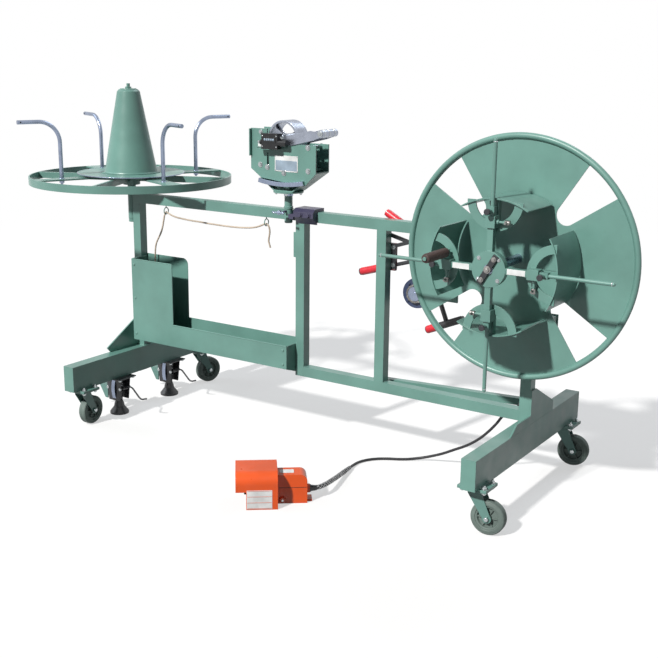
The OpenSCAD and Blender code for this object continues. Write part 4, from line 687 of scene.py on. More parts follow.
def makeTable(c):
    beads, collars, holes = [], [], []
    # solid dark cylinders through the post tips paint the shade inside their drilled holes
    hole = revolve([(0, -8.3), (3.1, -8.3), (3.1, 8.3), (0, 8.3)], 20)
    for k in range(4):
        a = c["spoke"] + 90 * k
        for s in (-1, 1):
            beads.append(atTable(weld([(399, s * 30, 967), (401.5, s * 30, 973)], 2.2), c, a))
            beads.append(atTable(weld([(36, s * 30, 968), (60, s * 30, 968)], 2.4), c, a))
            beads.append(atTable(weld([(401, s * 6, 950), (401, s * 6, 972)], 2.2), c, a + 45))
        beads.append(atTable(weld([(401, -28, 967.5), (401, 28, 967.5)], 2.6), c, a))
        foot = place(weldRing(9, "z", (0, 0, 0), 0, 360, 2.2), (c["post"], 0, c["disc"] + 0.6))
        collars.append(atTable(foot, c, a))
        collars.append(atTable(aim(boltSet(20, 9, 5), (0, 0, -1), (c["post"], 0, 967.8)), c, a))
        holes.append(atTable(aim(hole, (0, 1, 0), (c["tip"] - 11, 0, 1197)), c, a))
    makePiece("tableWelds", beads, "sage_paint", "turntable", sharp=80)
    makePiece("postFeet", collars, "bare_steel", "turntable", sharp=80)
    makePiece("postHoleShade", holes, "dark", "turntable", "bare_steel")
    centre = (c["x"], c["y"])
    lip = revolve([(105, 0.6), (118.6, 0.4), (119.2, 2.0), (118.4, 3.3), (107, 3.0), (105.4, 6.0),
        (104.6, 6.0)], 96, True)
    makePiece("coneLip", [place(lip, (*centre, c["disc"] + 11))], "sage_paint", "turntable")
    seam = atTable(weld([(105.6, 0, 992), (46.2, 0, 1304)], 1.5, 6), c, 112)
    cap = revolve([(9, 0), (33, 0), (33, 2.2), (31, 3.2), (9, 3.2)], 64, True)
    makePiece("coneSeam", [seam, place(cap, (*centre, c["capZ"]))], "sage_paint", "turntable", sharp=80)
    edge = revolve([(214.4, 7.8), (216.6, 8.2), (217, 9.6), (216.4, 11.2), (214, 11.4)], 128, True)
    makePiece("discEdge", [place(edge, (*centre, c["disc"]))], "bare_steel", "turntable")


# Measuring head

headValues = {
    "front": -58, "back": 28, "x": 657, "z": 1000, "axle": (795, 1165), "post": (796, -15),
    "spacers": [(43, 67), (75, 60), (149, 43), (254, 139), (255, 56)], "screws": [(46, 186), (40, 150)],
    "swivelBolts": (25, 115, 205, 295), "swivelR": 46, "swivelZ": 969,
    "label": {"x": 766, "z": 1048, "wide": 102, "high": 58},
    "bar": {"span": 198, "sag": 10, "rise": 12, "wide": 12, "high": 16, "middle": 140.5},
    "counter": {"x": 728, "z": 1129, "wheels": 5, "pitch": 9.3},
}


def makeHead(c):
    f, b = c["front"], c["back"]
    bolts = []
    for x, z in c["spacers"]:
        bolts.append(aim(boltSet(14.4, 5.6, 0), (0, -1, 0), (c["x"] + x, f, c["z"] + z)))
        bolts.append(aim(boltSet(15, 6, 4), (0, 1, 0), (c["x"] + x, b, c["z"] + z)))
    bolts += [aim(boltSet(12, 5, 0), (0, -1, 0), (c["x"] + x, f, c["z"] + z)) for x, z in c["screws"]]
    px, py = c["post"]
    for a in np.radians(c["swivelBolts"]):
        at = (px + c["swivelR"] * math.cos(a), py + c["swivelR"] * math.sin(a), c["swivelZ"])
        bolts.append(aim(boltSet(12, 5, 3), (0, 0, -1), at))
    makePiece("headBolts", bolts, "bright", "head", "bare_steel")
    v = c["label"]
    plate = boxShape((v["x"], f - 1.2, v["z"]), (v["wide"], 1.2, v["high"]))
    field = boxShape((v["x"] + 4, f - 1.6, v["z"] + 4), (v["wide"] - 8, 0.6, v["high"] - 22))
    rivet = revolve(rounded(2.2, 1.2, 0.9), 16)
    rivets = [aim(rivet, (0, -1, 0), (x, f - 1.1, z)) for x in (v["x"] + 3, v["x"] + v["wide"] - 3)
        for z in (v["z"] + 3, v["z"] + v["high"] - 3)]
    makePiece("headLabel", [plate], "label", "head", "bare_steel", 0.3)
    makePiece("headLabelField", [field], "labelField", "head", "bare_steel")
    makePiece("headLabelRivets", rivets, "bright", "head", "bare_steel")
    patch = boxShape((786, f - 11.7, 998), (26, 1.2, 8))
    makePiece("guideBarPatch", [patch], "label", "head", "bare_steel", 0.2)
    beads = [weld([(660, y, 1052), (755, y, 977)], 1.6) for y in (f + 5, b - 5)]
    beads.append(weldRing(17.5, "z", (px, py, 979.4), 0, 360, 2.2))
    makePiece("headWelds", beads, "sage_paint", "head", sharp=80)
    fold = boxShape((c["x"], f - 12, 1098), (4, 12, 98))
    makePiece("headEdgeFold", [fold], "sage_paint", "head", bevel=0.8)
    # bright face of the bowed guide bar: an arc of radius (span^2 / 4 + sag^2) / (2 sag)
    v = c["bar"]
    radius = (v["span"] ** 2 / 4 + v["sag"] ** 2) / (2 * v["sag"])
    reach = math.asin(v["span"] / 2 / radius)
    a = np.linspace(-reach, reach, 40)
    cx, cz = c["x"] + v["middle"], c["z"] + v["rise"] - v["sag"] + radius
    outer, inner = (np.column_stack([cx + r * np.sin(a), cz - r * np.cos(a)])
        for r in (radius + v["high"] / 2, radius - v["high"] / 2))
    bar = slab(np.concatenate([outer, inner[::-1]]), "y", f - v["wide"], v["wide"])
    makePiece("guideBarFace", [bar], "bare_steel", "head", bevel=1.2)


def makeCounter(c):
    # window with bare number wheels, reset knob and cover screws
    f, v = c["front"], c["counter"]
    x0, y0, z0 = v["x"], f - 32, v["z"]
    face = [boxShape((x0 + 8, y0 - 1.4, z0 + 22), (56, 1.6, 22))]
    face.append(boxShape((x0 - 1, y0 - 0.8, z0 - 1), (74, 2.4, 3)))
    face.append(boxShape((x0 - 1, y0 - 0.8, z0 + 52), (74, 25.6, 3)))
    makePiece("counterFrame", face, "counter_plastic", "head", bevel=0.6)
    wheel = revolve([(0, 0), (6.6, 0), (7.2, 0.5), (7.2, 7.1), (6.6, 7.6), (0, 7.6)], 30)
    wheels = [aim(wheel, (1, 0, 0), (x0 + 13 + v["pitch"] * k, y0 + 4.6, z0 + 33))
        for k in range(v["wheels"])]
    makePiece("counterWheels", wheels, "labelField", "head", "counter_plastic")
    shaft = revolve([(0, 0), (4, 0), (4, 6), (0, 6)], 20)
    knob = join([shaft, place(revolve(rounded(9, 7, 1.6), 16), (0, 0, 5))])
    makePiece("counterKnob", [aim(knob, (-1, 0, 0), (x0, y0 + 12, z0 + 22))], "counter_plastic", "head",
        bevel=0.4)
    screw = revolve(rounded(2.8, 1.6, 1.2), 16)
    screws = [aim(screw, (0, -1, 0), (x0 + x, y0, z0 + z)) for x in (5, 67) for z in (8, 46)]
    makePiece("counterScrews", screws, "bright", "head", "counter_plastic")
    tag = boxShape((x0 - 36, f - 3.1, z0 + 4), (24, 1.2, 12))
    makePiece("counterTag", [tag], "label", "head", "counter_plastic", 0.2)


def makeMeter(c):
    # wheel of r 65 over y -49 to 19: grooved band, three waisted spokes and a hub
    bands = [(57, -34), (65, -34)]
    for y in np.linspace(-28, 28, 8):
        bands += [(65, y - 1.3), (64.2, y - 0.6), (64.2, y + 0.6), (65, y + 1.3)]
    bands += [(65, 34), (57, 34), (57.5, 5), (57.5, -5)]
    band = revolve(bands, 128, True)
    hub = revolve([(6.05, -34), (16, -34), (17, -33), (17, 33), (16, 34), (6.05, 34)], 48, True)
    # half width of a spoke: 4.2 + 3.4 ((r - 37) / 22)^2
    r = np.linspace(15, 58.5, 12)
    half = 4.2 + 3.4 * ((r - 37) / 22) ** 2
    outline = np.concatenate([np.column_stack([r, half]), np.column_stack([r, -half])[::-1]])
    spokes = [place(slab(outline, "z", -3, 6), (0, 0, 0), (0, 0, 120 * n + 20)) for n in range(3)]
    at = (c["axle"][0], c["post"][1], c["axle"][1])
    wheel = [place(s, at, (90, 0, 0)) for s in [band, hub] + spokes]
    piece = makePiece("measuringWheelFine", wheel, "bare_aluminium", "meter_wheel", bevel=0.4)
    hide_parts("measuring_wheel")


def makePressArm(c):
    x, z = c["axle"]
    at = (x + 171, z + 25)
    tips = [aim(revolve(rounded(11, 3, 1), 24), (0, s, 0), (at[0], y, at[1]))
        for s, y in ((-1, -62.3), (1, 32.3))]
    tips += [aim(hexHead(11, 3.5), (0, s, 0), (at[0], y, at[1])) for s, y in ((-1, -65), (1, 35))]
    ring = revolve([(13.8, 0), (15.2, 0.6), (15.2, 3.4), (13.8, 4)], 32, True)
    rings = [aim(ring, (0, 1, 0), (at[0], y, at[1])) for y in (-52, -22, 12)]
    makePiece("pressArmTube", tips + rings, "bright", "press_arm", "bare_aluminium", 0.2)
    nuts = [aim(boltSet(20, 8, 0), (0, s, 0), (x, y, z)) for s, y in ((-1, -62.6), (1, 32.6))]
    makePiece("meterNuts", nuts, "bright", "head", "bare_steel")


clampValues = {"x": 796, "y": -15, "screwZ": 900, "boltX": 826, "boltZ": 891, "sleeveZ": 857.5,
    "collarZ": 956.2}


def makeClamp(c):
    x, z = c["x"], c["screwZ"]
    path = [(x + dx, y, z) for dx, y in ((-20, -80), (-6, -78), (6, -78), (20, -80))]
    bar = tube(path, [3.4, 3.9, 3.9, 3.4], 12)
    boss = aim(revolve(rounded(8, 14, 2), 24), (0, -1, 0), (x, -66, z))
    end = revolve([(0, -5), (4, -4), (5, 0), (4, 4), (0, 5)], 16)
    ends = [place(end, (x + s * 21, -80, z), (0, 90, 0)) for s in (-1, 1)]
    makePiece("clampHandle", [bar, boss] + ends, "bare_steel", "frame")
    bolts = [aim(boltSet(15, 6, 0), (0, -1, 0), (c["boltX"] + off, -28, c["boltZ"])) for off in (30.8, 66)]
    makePiece("clampBolts", bolts, "clamp_paint", "frame")
    sleeve = revolve([(14.05, 0), (15, 0.8), (15, 50), (17, 51), (17, 60), (15, 61), (15, 103),
        (14.05, 104)], 40, True)
    makePiece("postSleeve", [place(sleeve, (x, c["y"], c["sleeveZ"]))], "sage_paint", "frame",
        "clamp_paint")
    collar = revolve([(11.2, 0), (17, 0), (17, 9), (15.5, 10), (11.2, 10)], 32, True)
    makePiece("postCollar", [place(collar, (x, c["y"], c["collarZ"]))], "bare_steel", "lifting_post",
        bevel=0.3)


# Reel and drum

reelValues = {
    "x": 1759, "z": 845, "arm": -326, "rim": 383, "half": 9.5, "hub": 11,
    "labels": ((-120, 56), (60, 58)), "sprocketR": 36, "sprocketY": 80, "knob": 175.5,
    "screw": 143, "overShoe": 2, "latch": 59, "latchBolt": 38, "spinner": (-146, 35), "spinnerLength": 135,
}


def atArm(shape, c, k):
    return place(shape, (c["x"], c["arm"], c["z"]), (0, -90 * k, 0))


def makeReel(c):
    x, z, front = c["x"], c["z"], -c["half"]
    beads = [weldRing(c["rim"] - 10.4, "y", (x, -115.6, z), 0, 360, 1.8),
        weldRing(45.5, "y", (x, -115.4, z), 0, 360, 3)]
    for k in range(4):
        beads.append(atArm(weld([(55.3, -9, 9), (55.3, -9, -9)], 2.0), c, k))
        beads.append(atArm(weld([(163, -9, 9.6), (163, 9, 9.6)], 1.5), c, k))
    makePiece("reelWelds", beads, "sage_paint", "reel", sharp=80)
    labels = [atArm(boxShape((at, front - 0.7, -8.6), (wide, 0.8, 17.2)), c, 0) for at, wide in c["labels"]]
    makePiece("armLabels", labels, "label", "reel", "sage_paint", 0.2)
    bolts = [atArm(aim(boltSet(9, 3.5, 0), (0, -1, 0), (45, -11, 0)), c, k) for k in (0.5, 1.5, 2.5, 3.5)]
    makePiece("hubBolts", bolts, "bright", "reel", "bare_steel")
    r, y = c["sprocketR"], c["sprocketY"]
    bolts = [aim(boltSet(15, 6, 4), (0, 1, 0), (x + r * math.cos(a), y, z + r * math.sin(a)))
        for a in (0.5, 2.6, 4.7)]
    makePiece("sprocketBolts", bolts, "bright", "reel", "bare_steel")
    # the knobs' rims wave between 9.2 and 9.6
    rim = [(9.2 + 0.4 * (h % 2), h) for h in range(8)]
    knurl = revolve([(0, 0)] + rim + [(8.6, 9), (0, 9)], 24)
    knobs = [atArm(aim(knurl, (0, -1, 0), (c["knob"], front - 24, 0)), c, k) for k in range(4)]
    makePiece("armKnobs", knobs, "black_paint", "reel", "bare_steel")


def makeShoes(c):
    at = c["screw"]
    bar = tube([(at, -20, -50), (at, -8, -49), (at, 8, -49), (at, 20, -50)], [3.0, 4.0, 4.0, 3.0], 14)
    boss = place(revolve(rounded(7.5, 16, 2), 24), (at, 0, -58))
    nut = place(revolve([(4.2, 0), (8, 0), (8, 8), (4.2, 8)], 6, True), (at, 0, -24))
    seams = [weld([(206.6, 16, s * 10.5), (206.6, 34, s * 10.5)], 2) for s in (-1, 1)]
    seams += [weld([(161.2, -14, s * 15.8), (161.2, 14, s * 15.8)], 1.4) for s in (-1, 1)]
    ring = aim(revolve([(6, 0), (6.6, 0.5), (6.6, 2.5), (6, 3)], 24, True), (1, 0, 0), (376, 0, 0))
    for k in range(4):
        shoe = "shoe_%d" % (k + 1)
        # the third shoe's screw is on the other side, clear of the spinner
        over = (180, 0, 0) if k == c["overShoe"] else (0, 0, 0)
        handle = [atArm(place(s, (0, 0, 0), over), c, k) for s in (bar, boss)]
        makePiece("shoeHandle%d" % (k + 1), handle, "chain_steel", shoe, "bare_steel")
        parts = [atArm(s, c, k) for s in seams + [place(nut, (0, 0, 0), over)]]
        makePiece("shoeWelds%d" % (k + 1), parts, "sage_paint", shoe, sharp=80)
        makePiece("rodRings%d" % (k + 1), [atArm(ring, c, k)], "bright", "rod_%d" % (k + 1), "sage_paint")


def makeLatch(c):
    turn = math.radians(c["latch"])
    u = np.array([math.cos(turn), 0, math.sin(turn)])
    at = np.array([c["x"], c["arm"] - c["hub"] - 8.3, c["z"]])
    heads = [aim(boltSet(11, 4, 0), (0, -1, 0), at + s * c["latchBolt"] * u) for s in (-1, 1)]
    heads.append(aim(boltSet(16, 6, 2), (0, -1, 0), at))
    makePiece("latchBolts", heads, "chain_steel", "latch", "bare_steel")


def makeSpinner(c):
    # ribbed grip: r = 13.6 + 1.4 |sin(pi h / 9)|^0.6, falling to 11.8 at its two ends
    length = c["spinnerLength"]
    h = np.linspace(0, length, length + 1)
    ends = np.clip(np.minimum(h, length - h) / 9, 0, 1) ** 0.5
    outer = 11.8 + ends * (1.8 + 1.4 * np.abs(np.sin(math.pi * h / 9)) ** 0.6)
    profile = np.concatenate([np.column_stack([outer, h]), [(5.05, length), (5.05, 0)]])
    dx, dz = c["spinner"]
    grip = aim(revolve(profile, 40, True), (0, -1, 0), (c["x"] + dx, c["arm"] - 3.3, c["z"] + dz))
    piece = makePiece("spinnerGripFine", [grip], "grip_rubber", "spinner", sharp=60)
    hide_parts("spinner_grip")


# Drive

driveValues = {
    "motor": (1285, 633), "reel": (1759, 845), "teeth": (15, 31), "pitch": 12.7, "y": 77,
    "plate": 3.9, "roller": 3.7, "pin": 1.6,
    "shell": 53.2, "shellY": 104, "bells": (93, 245), "capY": 266.8, "faceBolts": (0.8, 2.3, 3.9, 5.5),
}


def makeChain(c):
    (mx, mz), (rx, rz) = c["motor"], c["reel"]
    # pitch line: an arc round each sprocket, joined by two straight runs that lean by asin((R - r) / span)
    small, large = (n * c["pitch"] / (2 * math.pi) for n in c["teeth"])
    span = math.hypot(rx - mx, rz - mz)
    slope = math.atan2(rz - mz, rx - mx)
    lean = math.asin((large - small) / span)
    a = np.linspace(math.pi / 2 + lean, -math.pi / 2 - lean, 90)
    b = np.linspace(-math.pi / 2 - lean, -3 * math.pi / 2 + lean, 60)
    loop = np.concatenate([
        np.column_stack([span + large * np.cos(a), large * np.sin(a)]),
        np.column_stack([small * np.cos(b), small * np.sin(b)])])
    loop = np.vstack([loop, loop[:1]])
    run = np.concatenate([[0], np.cumsum(np.hypot(*np.diff(loop, axis=0).T))])
    links = int(round(run[-1] / c["pitch"] / 2)) * 2
    s = np.linspace(0, run[-1], links + 1)
    pins = np.column_stack([np.interp(s, run, loop[:, k]) for k in (0, 1)])
    turn = np.array([[math.cos(slope), math.sin(slope)], [-math.sin(slope), math.cos(slope)]])
    pins = pins @ turn + (mx, mz)
    d = np.diff(pins, axis=0)
    w = np.arctan2(d[:, 1], d[:, 0])
    zero, one, level = np.zeros(links), np.ones(links), np.full(links, c["y"])
    rows = np.stack([np.cos(w), zero, -np.sin(w), zero, one, zero, np.sin(w), zero, np.cos(w)], -1)
    rows = rows.reshape(-1, 3, 3)
    middle = (pins[1:] + pins[:-1]) / 2
    middle = np.column_stack([middle[:, 0], level, middle[:, 1]])
    start = np.column_stack([pins[:-1, 0], level, pins[:-1, 1]])
    w = np.radians(np.linspace(-125, 125, 9))
    half = np.column_stack([c["pitch"] / 2 + c["plate"] * np.cos(w), c["plate"] * np.sin(w)])
    outline = np.concatenate([half, half * np.array([-1, -1])])
    inner, outer = (join([slab(outline, "y", s * off - 0.45, 0.9) for s in (-1, 1)]) for off in (2.2, 3.3))
    r = c["roller"]
    roller = aim(revolve([(0, -1.9), (r, -1.9), (r, 1.9), (0, 1.9)], 14), (0, 1, 0))
    r = c["pin"]
    pin = aim(revolve([(0, -4), (r, -4), (r, 4), (0, 4)], 10), (0, 1, 0))
    parts = [repeat(inner, rows[::2], middle[::2]), repeat(outer, rows[1::2], middle[1::2]),
        repeat(join([roller, pin]), rows, start)]
    chain = makePiece("rollerChain", parts, "chain_steel", "frame")
    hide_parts("drive_chain")


def makeMotor(c):
    x, z = c["motor"]
    rib = boxShape((c["shell"], -1.4, 0), (2.0, 2.8, 138))
    turns = [a for a in range(0, 360, 12) if 40 < a < 320]
    shell = [place(place(rib, (0, 0, 0), (0, 0, a)), (x, c["shellY"], z), (-90, 0, 0)) for a in turns]
    bell = revolve([(53, 0), (55.4, 0.8), (55.4, 7), (53, 8)], 64, True)
    shell += [aim(bell, (0, 1, 0), (x, y, z)) for y in c["bells"]]
    shell.append(aim(revolve(rounded(30, 3, 1.5), 48), (0, 1, 0), (x, c["capY"], z)))
    shell.append(boxShape((x - 27, 172, z + 50), (54, 62, 24)))
    shell.append(boxShape((x - 29, 170, z + 73), (58, 66, 4)))
    makePiece("motorShell", shell, "motor_paint", "frame", bevel=0.5)
    bolts = [aim(boltSet(9, 4, 0), (0, -1, 0), (x + 43 * math.cos(a), 87, z + 43 * math.sin(a)))
        for a in c["faceBolts"]]
    screw = revolve(rounded(3, 2, 1), 16)
    bolts += [place(screw, (x + sx * 24, 203 + sy * 28, z + 77)) for sx in (-1, 1) for sy in (-1, 1)]
    makePiece("motorBolts", bolts, "motor_paint", "frame")
    plate = boxShape((x - 55.6, 140, z - 13), (0.8, 46, 26))
    makePiece("motorPlate", [plate], "label", "frame", "motor_paint", 0.2)
    collar = revolve([(7.2, 0), (12, 0), (12, 5), (7.2, 5)], 32, True)
    makePiece("motorCollar", [aim(collar, (0, 1, 0), (x, 81, z))], "bright", "motor_sprocket",
        "bare_steel", 0.3)


bearingValues = {"x": 1759, "z": 845, "seals": (-30, 68), "boltFaces": (-8, 46), "bolt": 44}


def makeBearings(c):
    x, z = c["x"], c["z"]
    seal = revolve([(15.2, 0), (27, 0), (25, 2), (17, 2.4)], 48, True)
    nipple = revolve([(0, 0), (3.5, 0), (3.5, 5), (0, 5)], 6)
    nipple = join([nipple, place(revolve(rounded(2.2, 6, 2), 16), (0, 0, 4))])
    parts, bolts = [], []
    for y, face, s in zip(c["seals"], c["boltFaces"], (-1, 1)):
        parts.append(aim(seal, (0, s, 0), (x, y, z)))
        parts.append(place(nipple, (x, y - s * 12, z + 31.5)))
        bolts += [aim(boltSet(16, 6, 0), (0, s, 0), (x, face, z + t * c["bolt"])) for t in (-1, 1)]
    makePiece("bearingSeals", parts, "bright", "frame", "bearing_iron")
    makePiece("bearingBolts", bolts, "bright", "frame", "bare_steel")


controlValues = {
    "screws": [(1759 + sx * 46, 120, 540 + sz * 76) for sx in (-1, 1) for sz in (-1, 1)],
    "saddleScrews": [(1698, 41, 285), (1698, 41, 298)], "cable": (1735, 78), "nutZ": 452, "domeZ": 435.2,
    "label": (1809.0, 52, 520), "hinge": (1706, 119), "hingeZs": (478, 576),
}


def makeControlBox(c):
    screw = revolve(rounded(4, 2.2, 1.4), 20)
    screws = [aim(screw, (0, 1, 0), at) for at in c["screws"] + c["saddleScrews"]]
    makePiece("boxScrews", screws, "bright", "frame", "box_paint")
    nut = revolve([(5.2, 0), (14, 0), (14, 8), (5.2, 8)], 6, True)
    dome = revolve([(5.2, 0), (10.8, 0), (10.2, 6), (6.5, 9), (5.2, 9)], 24, True)
    gland = [place(nut, (*c["cable"], c["nutZ"])), place(dome, (*c["cable"], c["domeZ"]))]
    makePiece("cableGland", gland, "counter_plastic", "frame", bevel=0.4)
    makePiece("boxLabel", [boxShape(c["label"], (0.7, 46, 60))], "label", "frame", "box_paint", 0.2)
    hinges = [tube([(*c["hinge"], z), (*c["hinge"], z + 26)], [3.4, 3.4], 14, (1, 0, 0))
        for z in c["hingeZs"]]
    makePiece("boxHinges", hinges, "box_paint", "frame")


# Foot switch, in its own frame: u along the hood, v across it

footValues = {
    "x": 1176, "y": -440, "turn": 218, "case": 100, "end": 236, "half": 82, "height": 125, "round": 38,
    "lug": (84, 14), "rules": (5, 25, 46, 66), "cableZ": 40,
}


def atFoot(shape, c):
    return place(shape, (c["x"], c["y"], 0), (0, 0, c["turn"]))


def makeFoot(c):
    h, t, r = c["half"], c["height"], c["round"]
    a = np.radians(np.linspace(0, 90, 12))
    left = np.column_stack([-h + r - r * np.cos(a), t - r + r * np.sin(a)])
    arch = np.vstack([(-h, 64), left, left[::-1] * [-1, 1], (h, 64)])
    path = evenSteps(np.column_stack([np.full(len(arch), c["end"]), arch]), 3)
    path = np.column_stack([path[:, 0], path[:, 1] * (h - 1.4) / h, path[:, 2] - 1.2])
    lip = tube(path, np.full(len(path), 1.9), 10, (1, 0, 0))
    back = np.column_stack([path[:, 0] * 0 + c["case"] + 4, path[:, 1] * 0.995, path[:, 2] - 0.4])
    rib = tube(back, np.full(len(back), 1.7), 8, (1, 0, 0))
    u, z = c["lug"]
    lug = revolve(rounded(11, 9, 3), 28)
    lugs = [aim(lug, (0, s, 0), (u, s * 33.5, z)) for s in (-1, 1)]
    trim = [atFoot(s, c) for s in [lip, rib] + lugs]
    makePiece("footShellTrim", trim, "orange_paint", "frame", bevel=0.6)
    seam = [boxShape((3, y, 56), (93, 0.5, 1.5)) for y in (-34.5, 34)]
    makePiece("footSeam", [atFoot(s, c) for s in seam], "dark", "frame", "orange_paint")
    screw = revolve(rounded(4.4, 2.2, 1.5), 20)
    screws = [aim(screw, (0, s, 0), (u, s * 42.3, z)) for s in (-1, 1)]
    makePiece("footScrews", [atFoot(s, c) for s in screws], "bright", "frame", "bare_steel")
    label = [boxShape((119, h, 3), (84, 0.7, 66)), boxShape((44, -15, t - 23), (48, 30, 0.7))]
    makePiece("footLabel", [atFoot(s, c) for s in label], "label", "frame", "orange_paint", 0.2)
    rules = [boxShape((121, h + 0.4, z), (80, 0.7, 1.2)) for z in c["rules"]]
    makePiece("footLabelRules", [atFoot(s, c) for s in rules], "orange_paint", "frame")
    relief = revolve([(5.2, 0), (13.5, 0), (13.5, 4), (11, 8), (9.5, 20), (8, 26), (5.2, 26)], 24, True)
    gland = atFoot(aim(relief, (-1, 0, 0), (-8, 0, c["cableZ"])), c)
    makePiece("footGland", [gland], "counter_plastic", "frame", bevel=0.4)


# Cable cutter, lever and their grips

cutterValues = {
    "grips": {
        "lower": {"body": "frame", "y": 53, "turn": 163.8, "start": 244},
        "upper": {"body": "upper_cutter", "y": 65.3, "turn": 208.5, "start": 166},
    },
    "pivot": (1405, 790), "length": 105, "r": 13.9, "nutY": 70.6,
    "ribs": (1194, 50, 726), "boltX": 1215, "boltZs": (736, 800),
}
leverValues = {"x": 1390, "y": 60.5, "z": 640, "reach": 100, "down": 68, "back": 23}


def gripShape(length, r, ribs=0):
    # radius falls to 0 over the last 0.7 r as an ellipse does; ribs add ribs sin(0.7 h)^2
    h = np.linspace(0, length, 60)
    ends = np.sqrt(np.clip(1 - (1 - np.clip((length - h) / (r * 0.7), 0, 1)) ** 2, 0, 1))
    outer = r * np.clip(ends, 0.02, 1) + ribs * np.sin(h * 0.7) ** 2 * ends
    return revolve(np.concatenate([[(r * 0.4, 0)], np.column_stack([outer, h]), [(0, length)]]), 28)


def makeCutter(c):
    x, z = c["pivot"]
    for name, v in c["grips"].items():
        shape = aim(gripShape(c["length"], c["r"], 0.5), (1, 0, 0), (v["start"], 0, 0))
        makePiece(name + "CutterGrip", [place(shape, (x, v["y"], z), (0, v["turn"], 0))], "redGrip",
            v["body"], "red_paint")
    nut = aim(boltSet(24, 9, 5), (0, 1, 0), (x, c["nutY"], z))
    makePiece("cutterNut", [nut], "bright", "upper_cutter", "bare_steel")
    rx, ry, rz = c["ribs"]
    ribs = [boxShape((rx + 10 * k, ry, rz), (5, 0.7, 84)) for k in range(3)]
    makePiece("cutterBlockRibs", ribs, "black_paint", "frame", bevel=0.2)
    # the cover's red is darkened to paint the shade it lies in
    cover = [boxShape((1183.2, 43, 721.2), (42.6, 7.3, 93.6)), boxShape((1184, 38, 716), (41, 12.3, 6))]
    makePiece("cutterBlockCover", cover, "darkRed", "frame", "black_paint", 1.6)
    bolts = [aim(boltSet(12, 5, 0), (0, -1, 0), (c["boltX"], 38, z)) for z in c["boltZs"]]
    makePiece("cutterBolts", bolts, "bright", "frame", "bare_steel")


def makeLever(c):
    # the arm runs down from the pivot to the handle, which turns back from it
    x0, y, z0 = c["x"], c["y"], c["z"]
    a = math.radians(c["down"])
    at = (x0 + c["reach"] * math.cos(a), y, z0 - c["reach"] * math.sin(a))
    back = (0, -c["back"], 0)
    black = aim(gripShape(154, 12.9, 0.5), (1, 0, 0), (-86, 0, 0))
    red = aim(gripShape(50, 14.4), (-1, 0, 0), (-40, 0, 0))
    makePiece("leverGrip", [place(black, at, back)], "blackGrip", "lever", "black_paint")
    makePiece("leverTip", [place(red, at, back)], "redGrip", "lever", "black_paint")
    arm = revolve([(5.4, 0), (8.4, 0), (8.4, 82), (7.4, 84), (5.4, 84)], 24, True)
    arm = place(aim(arm, (1, 0, 0), (12, 0, 0)), (x0, y, z0), (0, c["down"], 0))
    makePiece("leverSleeve", [arm], "blackGrip", "lever", "black_paint")
    ring = aim(revolve([(12.6, 0), (15, 1), (15, 5), (12.6, 6)], 28, True), (1, 0, 0), (-44, 0, 0))
    makePiece("leverRing", [place(ring, at, back)], "blackGrip", "lever", "black_paint")
    nut = aim(boltSet(18, 7, 4), (0, 1, 0), (x0, y + 5.9, z0))
    makePiece("leverNut", [nut], "bright", "frame", "bare_steel")


makeFrameWelds(frameWelds)
makeBoxHems(hemValues)
makeWheels(casterValues)
makeCasterFittings(casterValues)
makeLocks(lockValues)
print("frame, casters and floor locks made")
makeTable(tableValues)
makeHead(headValues)
makeCounter(headValues)
makeMeter(headValues)
makePressArm(headValues)
makeClamp(clampValues)
print("turntable and measuring head made")
makeReel(reelValues)
makeShoes(reelValues)
makeLatch(reelValues)
makeSpinner(reelValues)
makeChain(driveValues)
makeMotor(driveValues)
makeBearings(bearingValues)
makeControlBox(controlValues)
print("reel and drive made")
makeFoot(footValues)
makeCutter(cutterValues)
makeLever(leverValues)
print("foot switch, cutter and lever made")

# Stage and light

stageValues = {"floor": 120, "white": (0.93, 0.93, 0.93), "grey": (0.09, 0.09, 0.092), "glow": 0.55,
    "near": 2.2, "far": 6.0}
lightValues = {
    "sun": {"from": (-0.16, -1.0, 0.82), "angle": 3.0, "strength": 4.7, "colour": (1.0, 0.98, 0.95)},
    "fill": {"from": (-0.8, -0.3, 0.6), "distance": 9, "size": 5, "power": 130,
        "colour": (0.85, 0.93, 1.0)},
    "back": {"from": (0.1, 0.8, 0.9), "distance": 9, "size": 4, "power": 170, "colour": (0.85, 0.93, 1.0)},
    "world": (0.048, 0.05, 0.062),
}


def cameraSeen(nodes, links):
    path = nodes.new("ShaderNodeLightPath")
    total = path.outputs["Is Camera Ray"]
    for name in ("Is Glossy Ray", "Is Transmission Ray"):
        add = nodes.new("ShaderNodeMath")
        add.operation = "MAXIMUM"
        links.new(total, add.inputs[0])
        links.new(path.outputs[name], add.inputs[1])
        total = add.outputs[0]
    return total


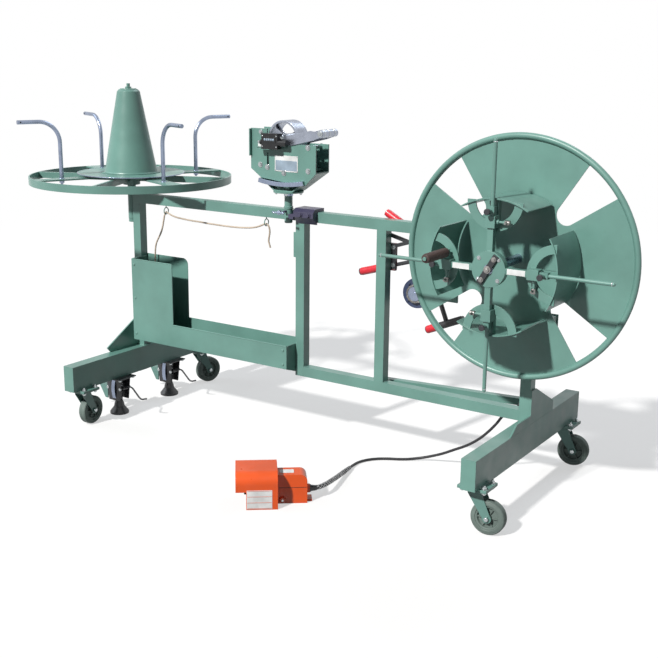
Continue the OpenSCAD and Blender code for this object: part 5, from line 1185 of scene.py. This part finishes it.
def makeStage(c):
    s = c["floor"] / 2
    mesh = bpy.data.meshes.new("studioFloor")
    mesh.from_pydata([(-s, -s, 0), (s, -s, 0), (s, s, 0), (-s, s, 0)], [], [(0, 1, 2, 3)])
    floor = bpy.data.objects.new("studioFloor", mesh)
    bpy.context.scene.collection.objects.link(floor)
    material, nodes, links, shader = newMaterial("studioFloor")
    shader.inputs["Roughness"].default_value = 0.9
    seen = cameraSeen(nodes, links)
    links.new(mixColours(nodes, links, seen, c["grey"], c["white"]), shader.inputs["Base Color"])
    # the floor turns into the white backdrop between near and far:
    # f = glow + (1 - glow) (d - near) / (far - near)
    distance = nodes.new("ShaderNodeVectorMath")
    distance.operation = "LENGTH"
    links.new(nodes.new("ShaderNodeTexCoord").outputs["Object"], distance.inputs[0])
    share = spread(nodes, links, distance.outputs["Value"], c["near"], c["far"], c["glow"], 1.0)
    glow = nodes.new("ShaderNodeEmission")
    glow.inputs["Color"].default_value = (1, 1, 1, 1)
    mix = nodes.new("ShaderNodeMixShader")
    links.new(multiply(nodes, links, seen, share), mix.inputs[0])
    links.new(shader.outputs[0], mix.inputs[1])
    links.new(glow.outputs[0], mix.inputs[2])
    links.new(mix.outputs[0], nodes["Material Output"].inputs["Surface"])
    mesh.materials.append(material)


def makeLights(c):
    world = bpy.data.worlds.new("studio")
    bpy.context.scene.world = world
    world.use_nodes = True
    nodes, links = world.node_tree.nodes, world.node_tree.links
    ambient = nodes["Background"]
    ambient.inputs["Color"].default_value = (*c["world"], 1)
    white = nodes.new("ShaderNodeBackground")
    white.inputs["Color"].default_value = (1, 1, 1, 1)
    mix = nodes.new("ShaderNodeMixShader")
    links.new(cameraSeen(nodes, links), mix.inputs[0])
    links.new(ambient.outputs[0], mix.inputs[1])
    links.new(white.outputs[0], mix.inputs[2])
    links.new(mix.outputs[0], nodes["World Output"].inputs["Surface"])
    aimAt = Vector((0, 0, 0.6))
    v = c["sun"]
    data = bpy.data.lights.new("sunLight", "SUN")
    data.energy = v["strength"]
    data.angle = math.radians(v["angle"])
    data.color = v["colour"]
    sun = bpy.data.objects.new("sunLight", data)
    sun.rotation_euler = (-Vector(v["from"])).to_track_quat("-Z", "Y").to_euler()
    bpy.context.scene.collection.objects.link(sun)
    for name in ("fill", "back"):
        v = c[name]
        data = bpy.data.lights.new(name + "Light", "AREA")
        data.shape = "DISK"
        data.size = v["size"]
        data.energy = v["power"]
        data.color = v["colour"]
        lamp = bpy.data.objects.new(name + "Light", data)
        direction = Vector(v["from"]).normalized()
        lamp.location = aimAt + direction * v["distance"]
        lamp.rotation_euler = (-direction).to_track_quat("-Z", "Y").to_euler()
        bpy.context.scene.collection.objects.link(lamp)


makeStage(stageValues)
makeLights(lightValues)
bpy.context.scene.view_settings.view_transform = "Standard"
print("stage and lights made")
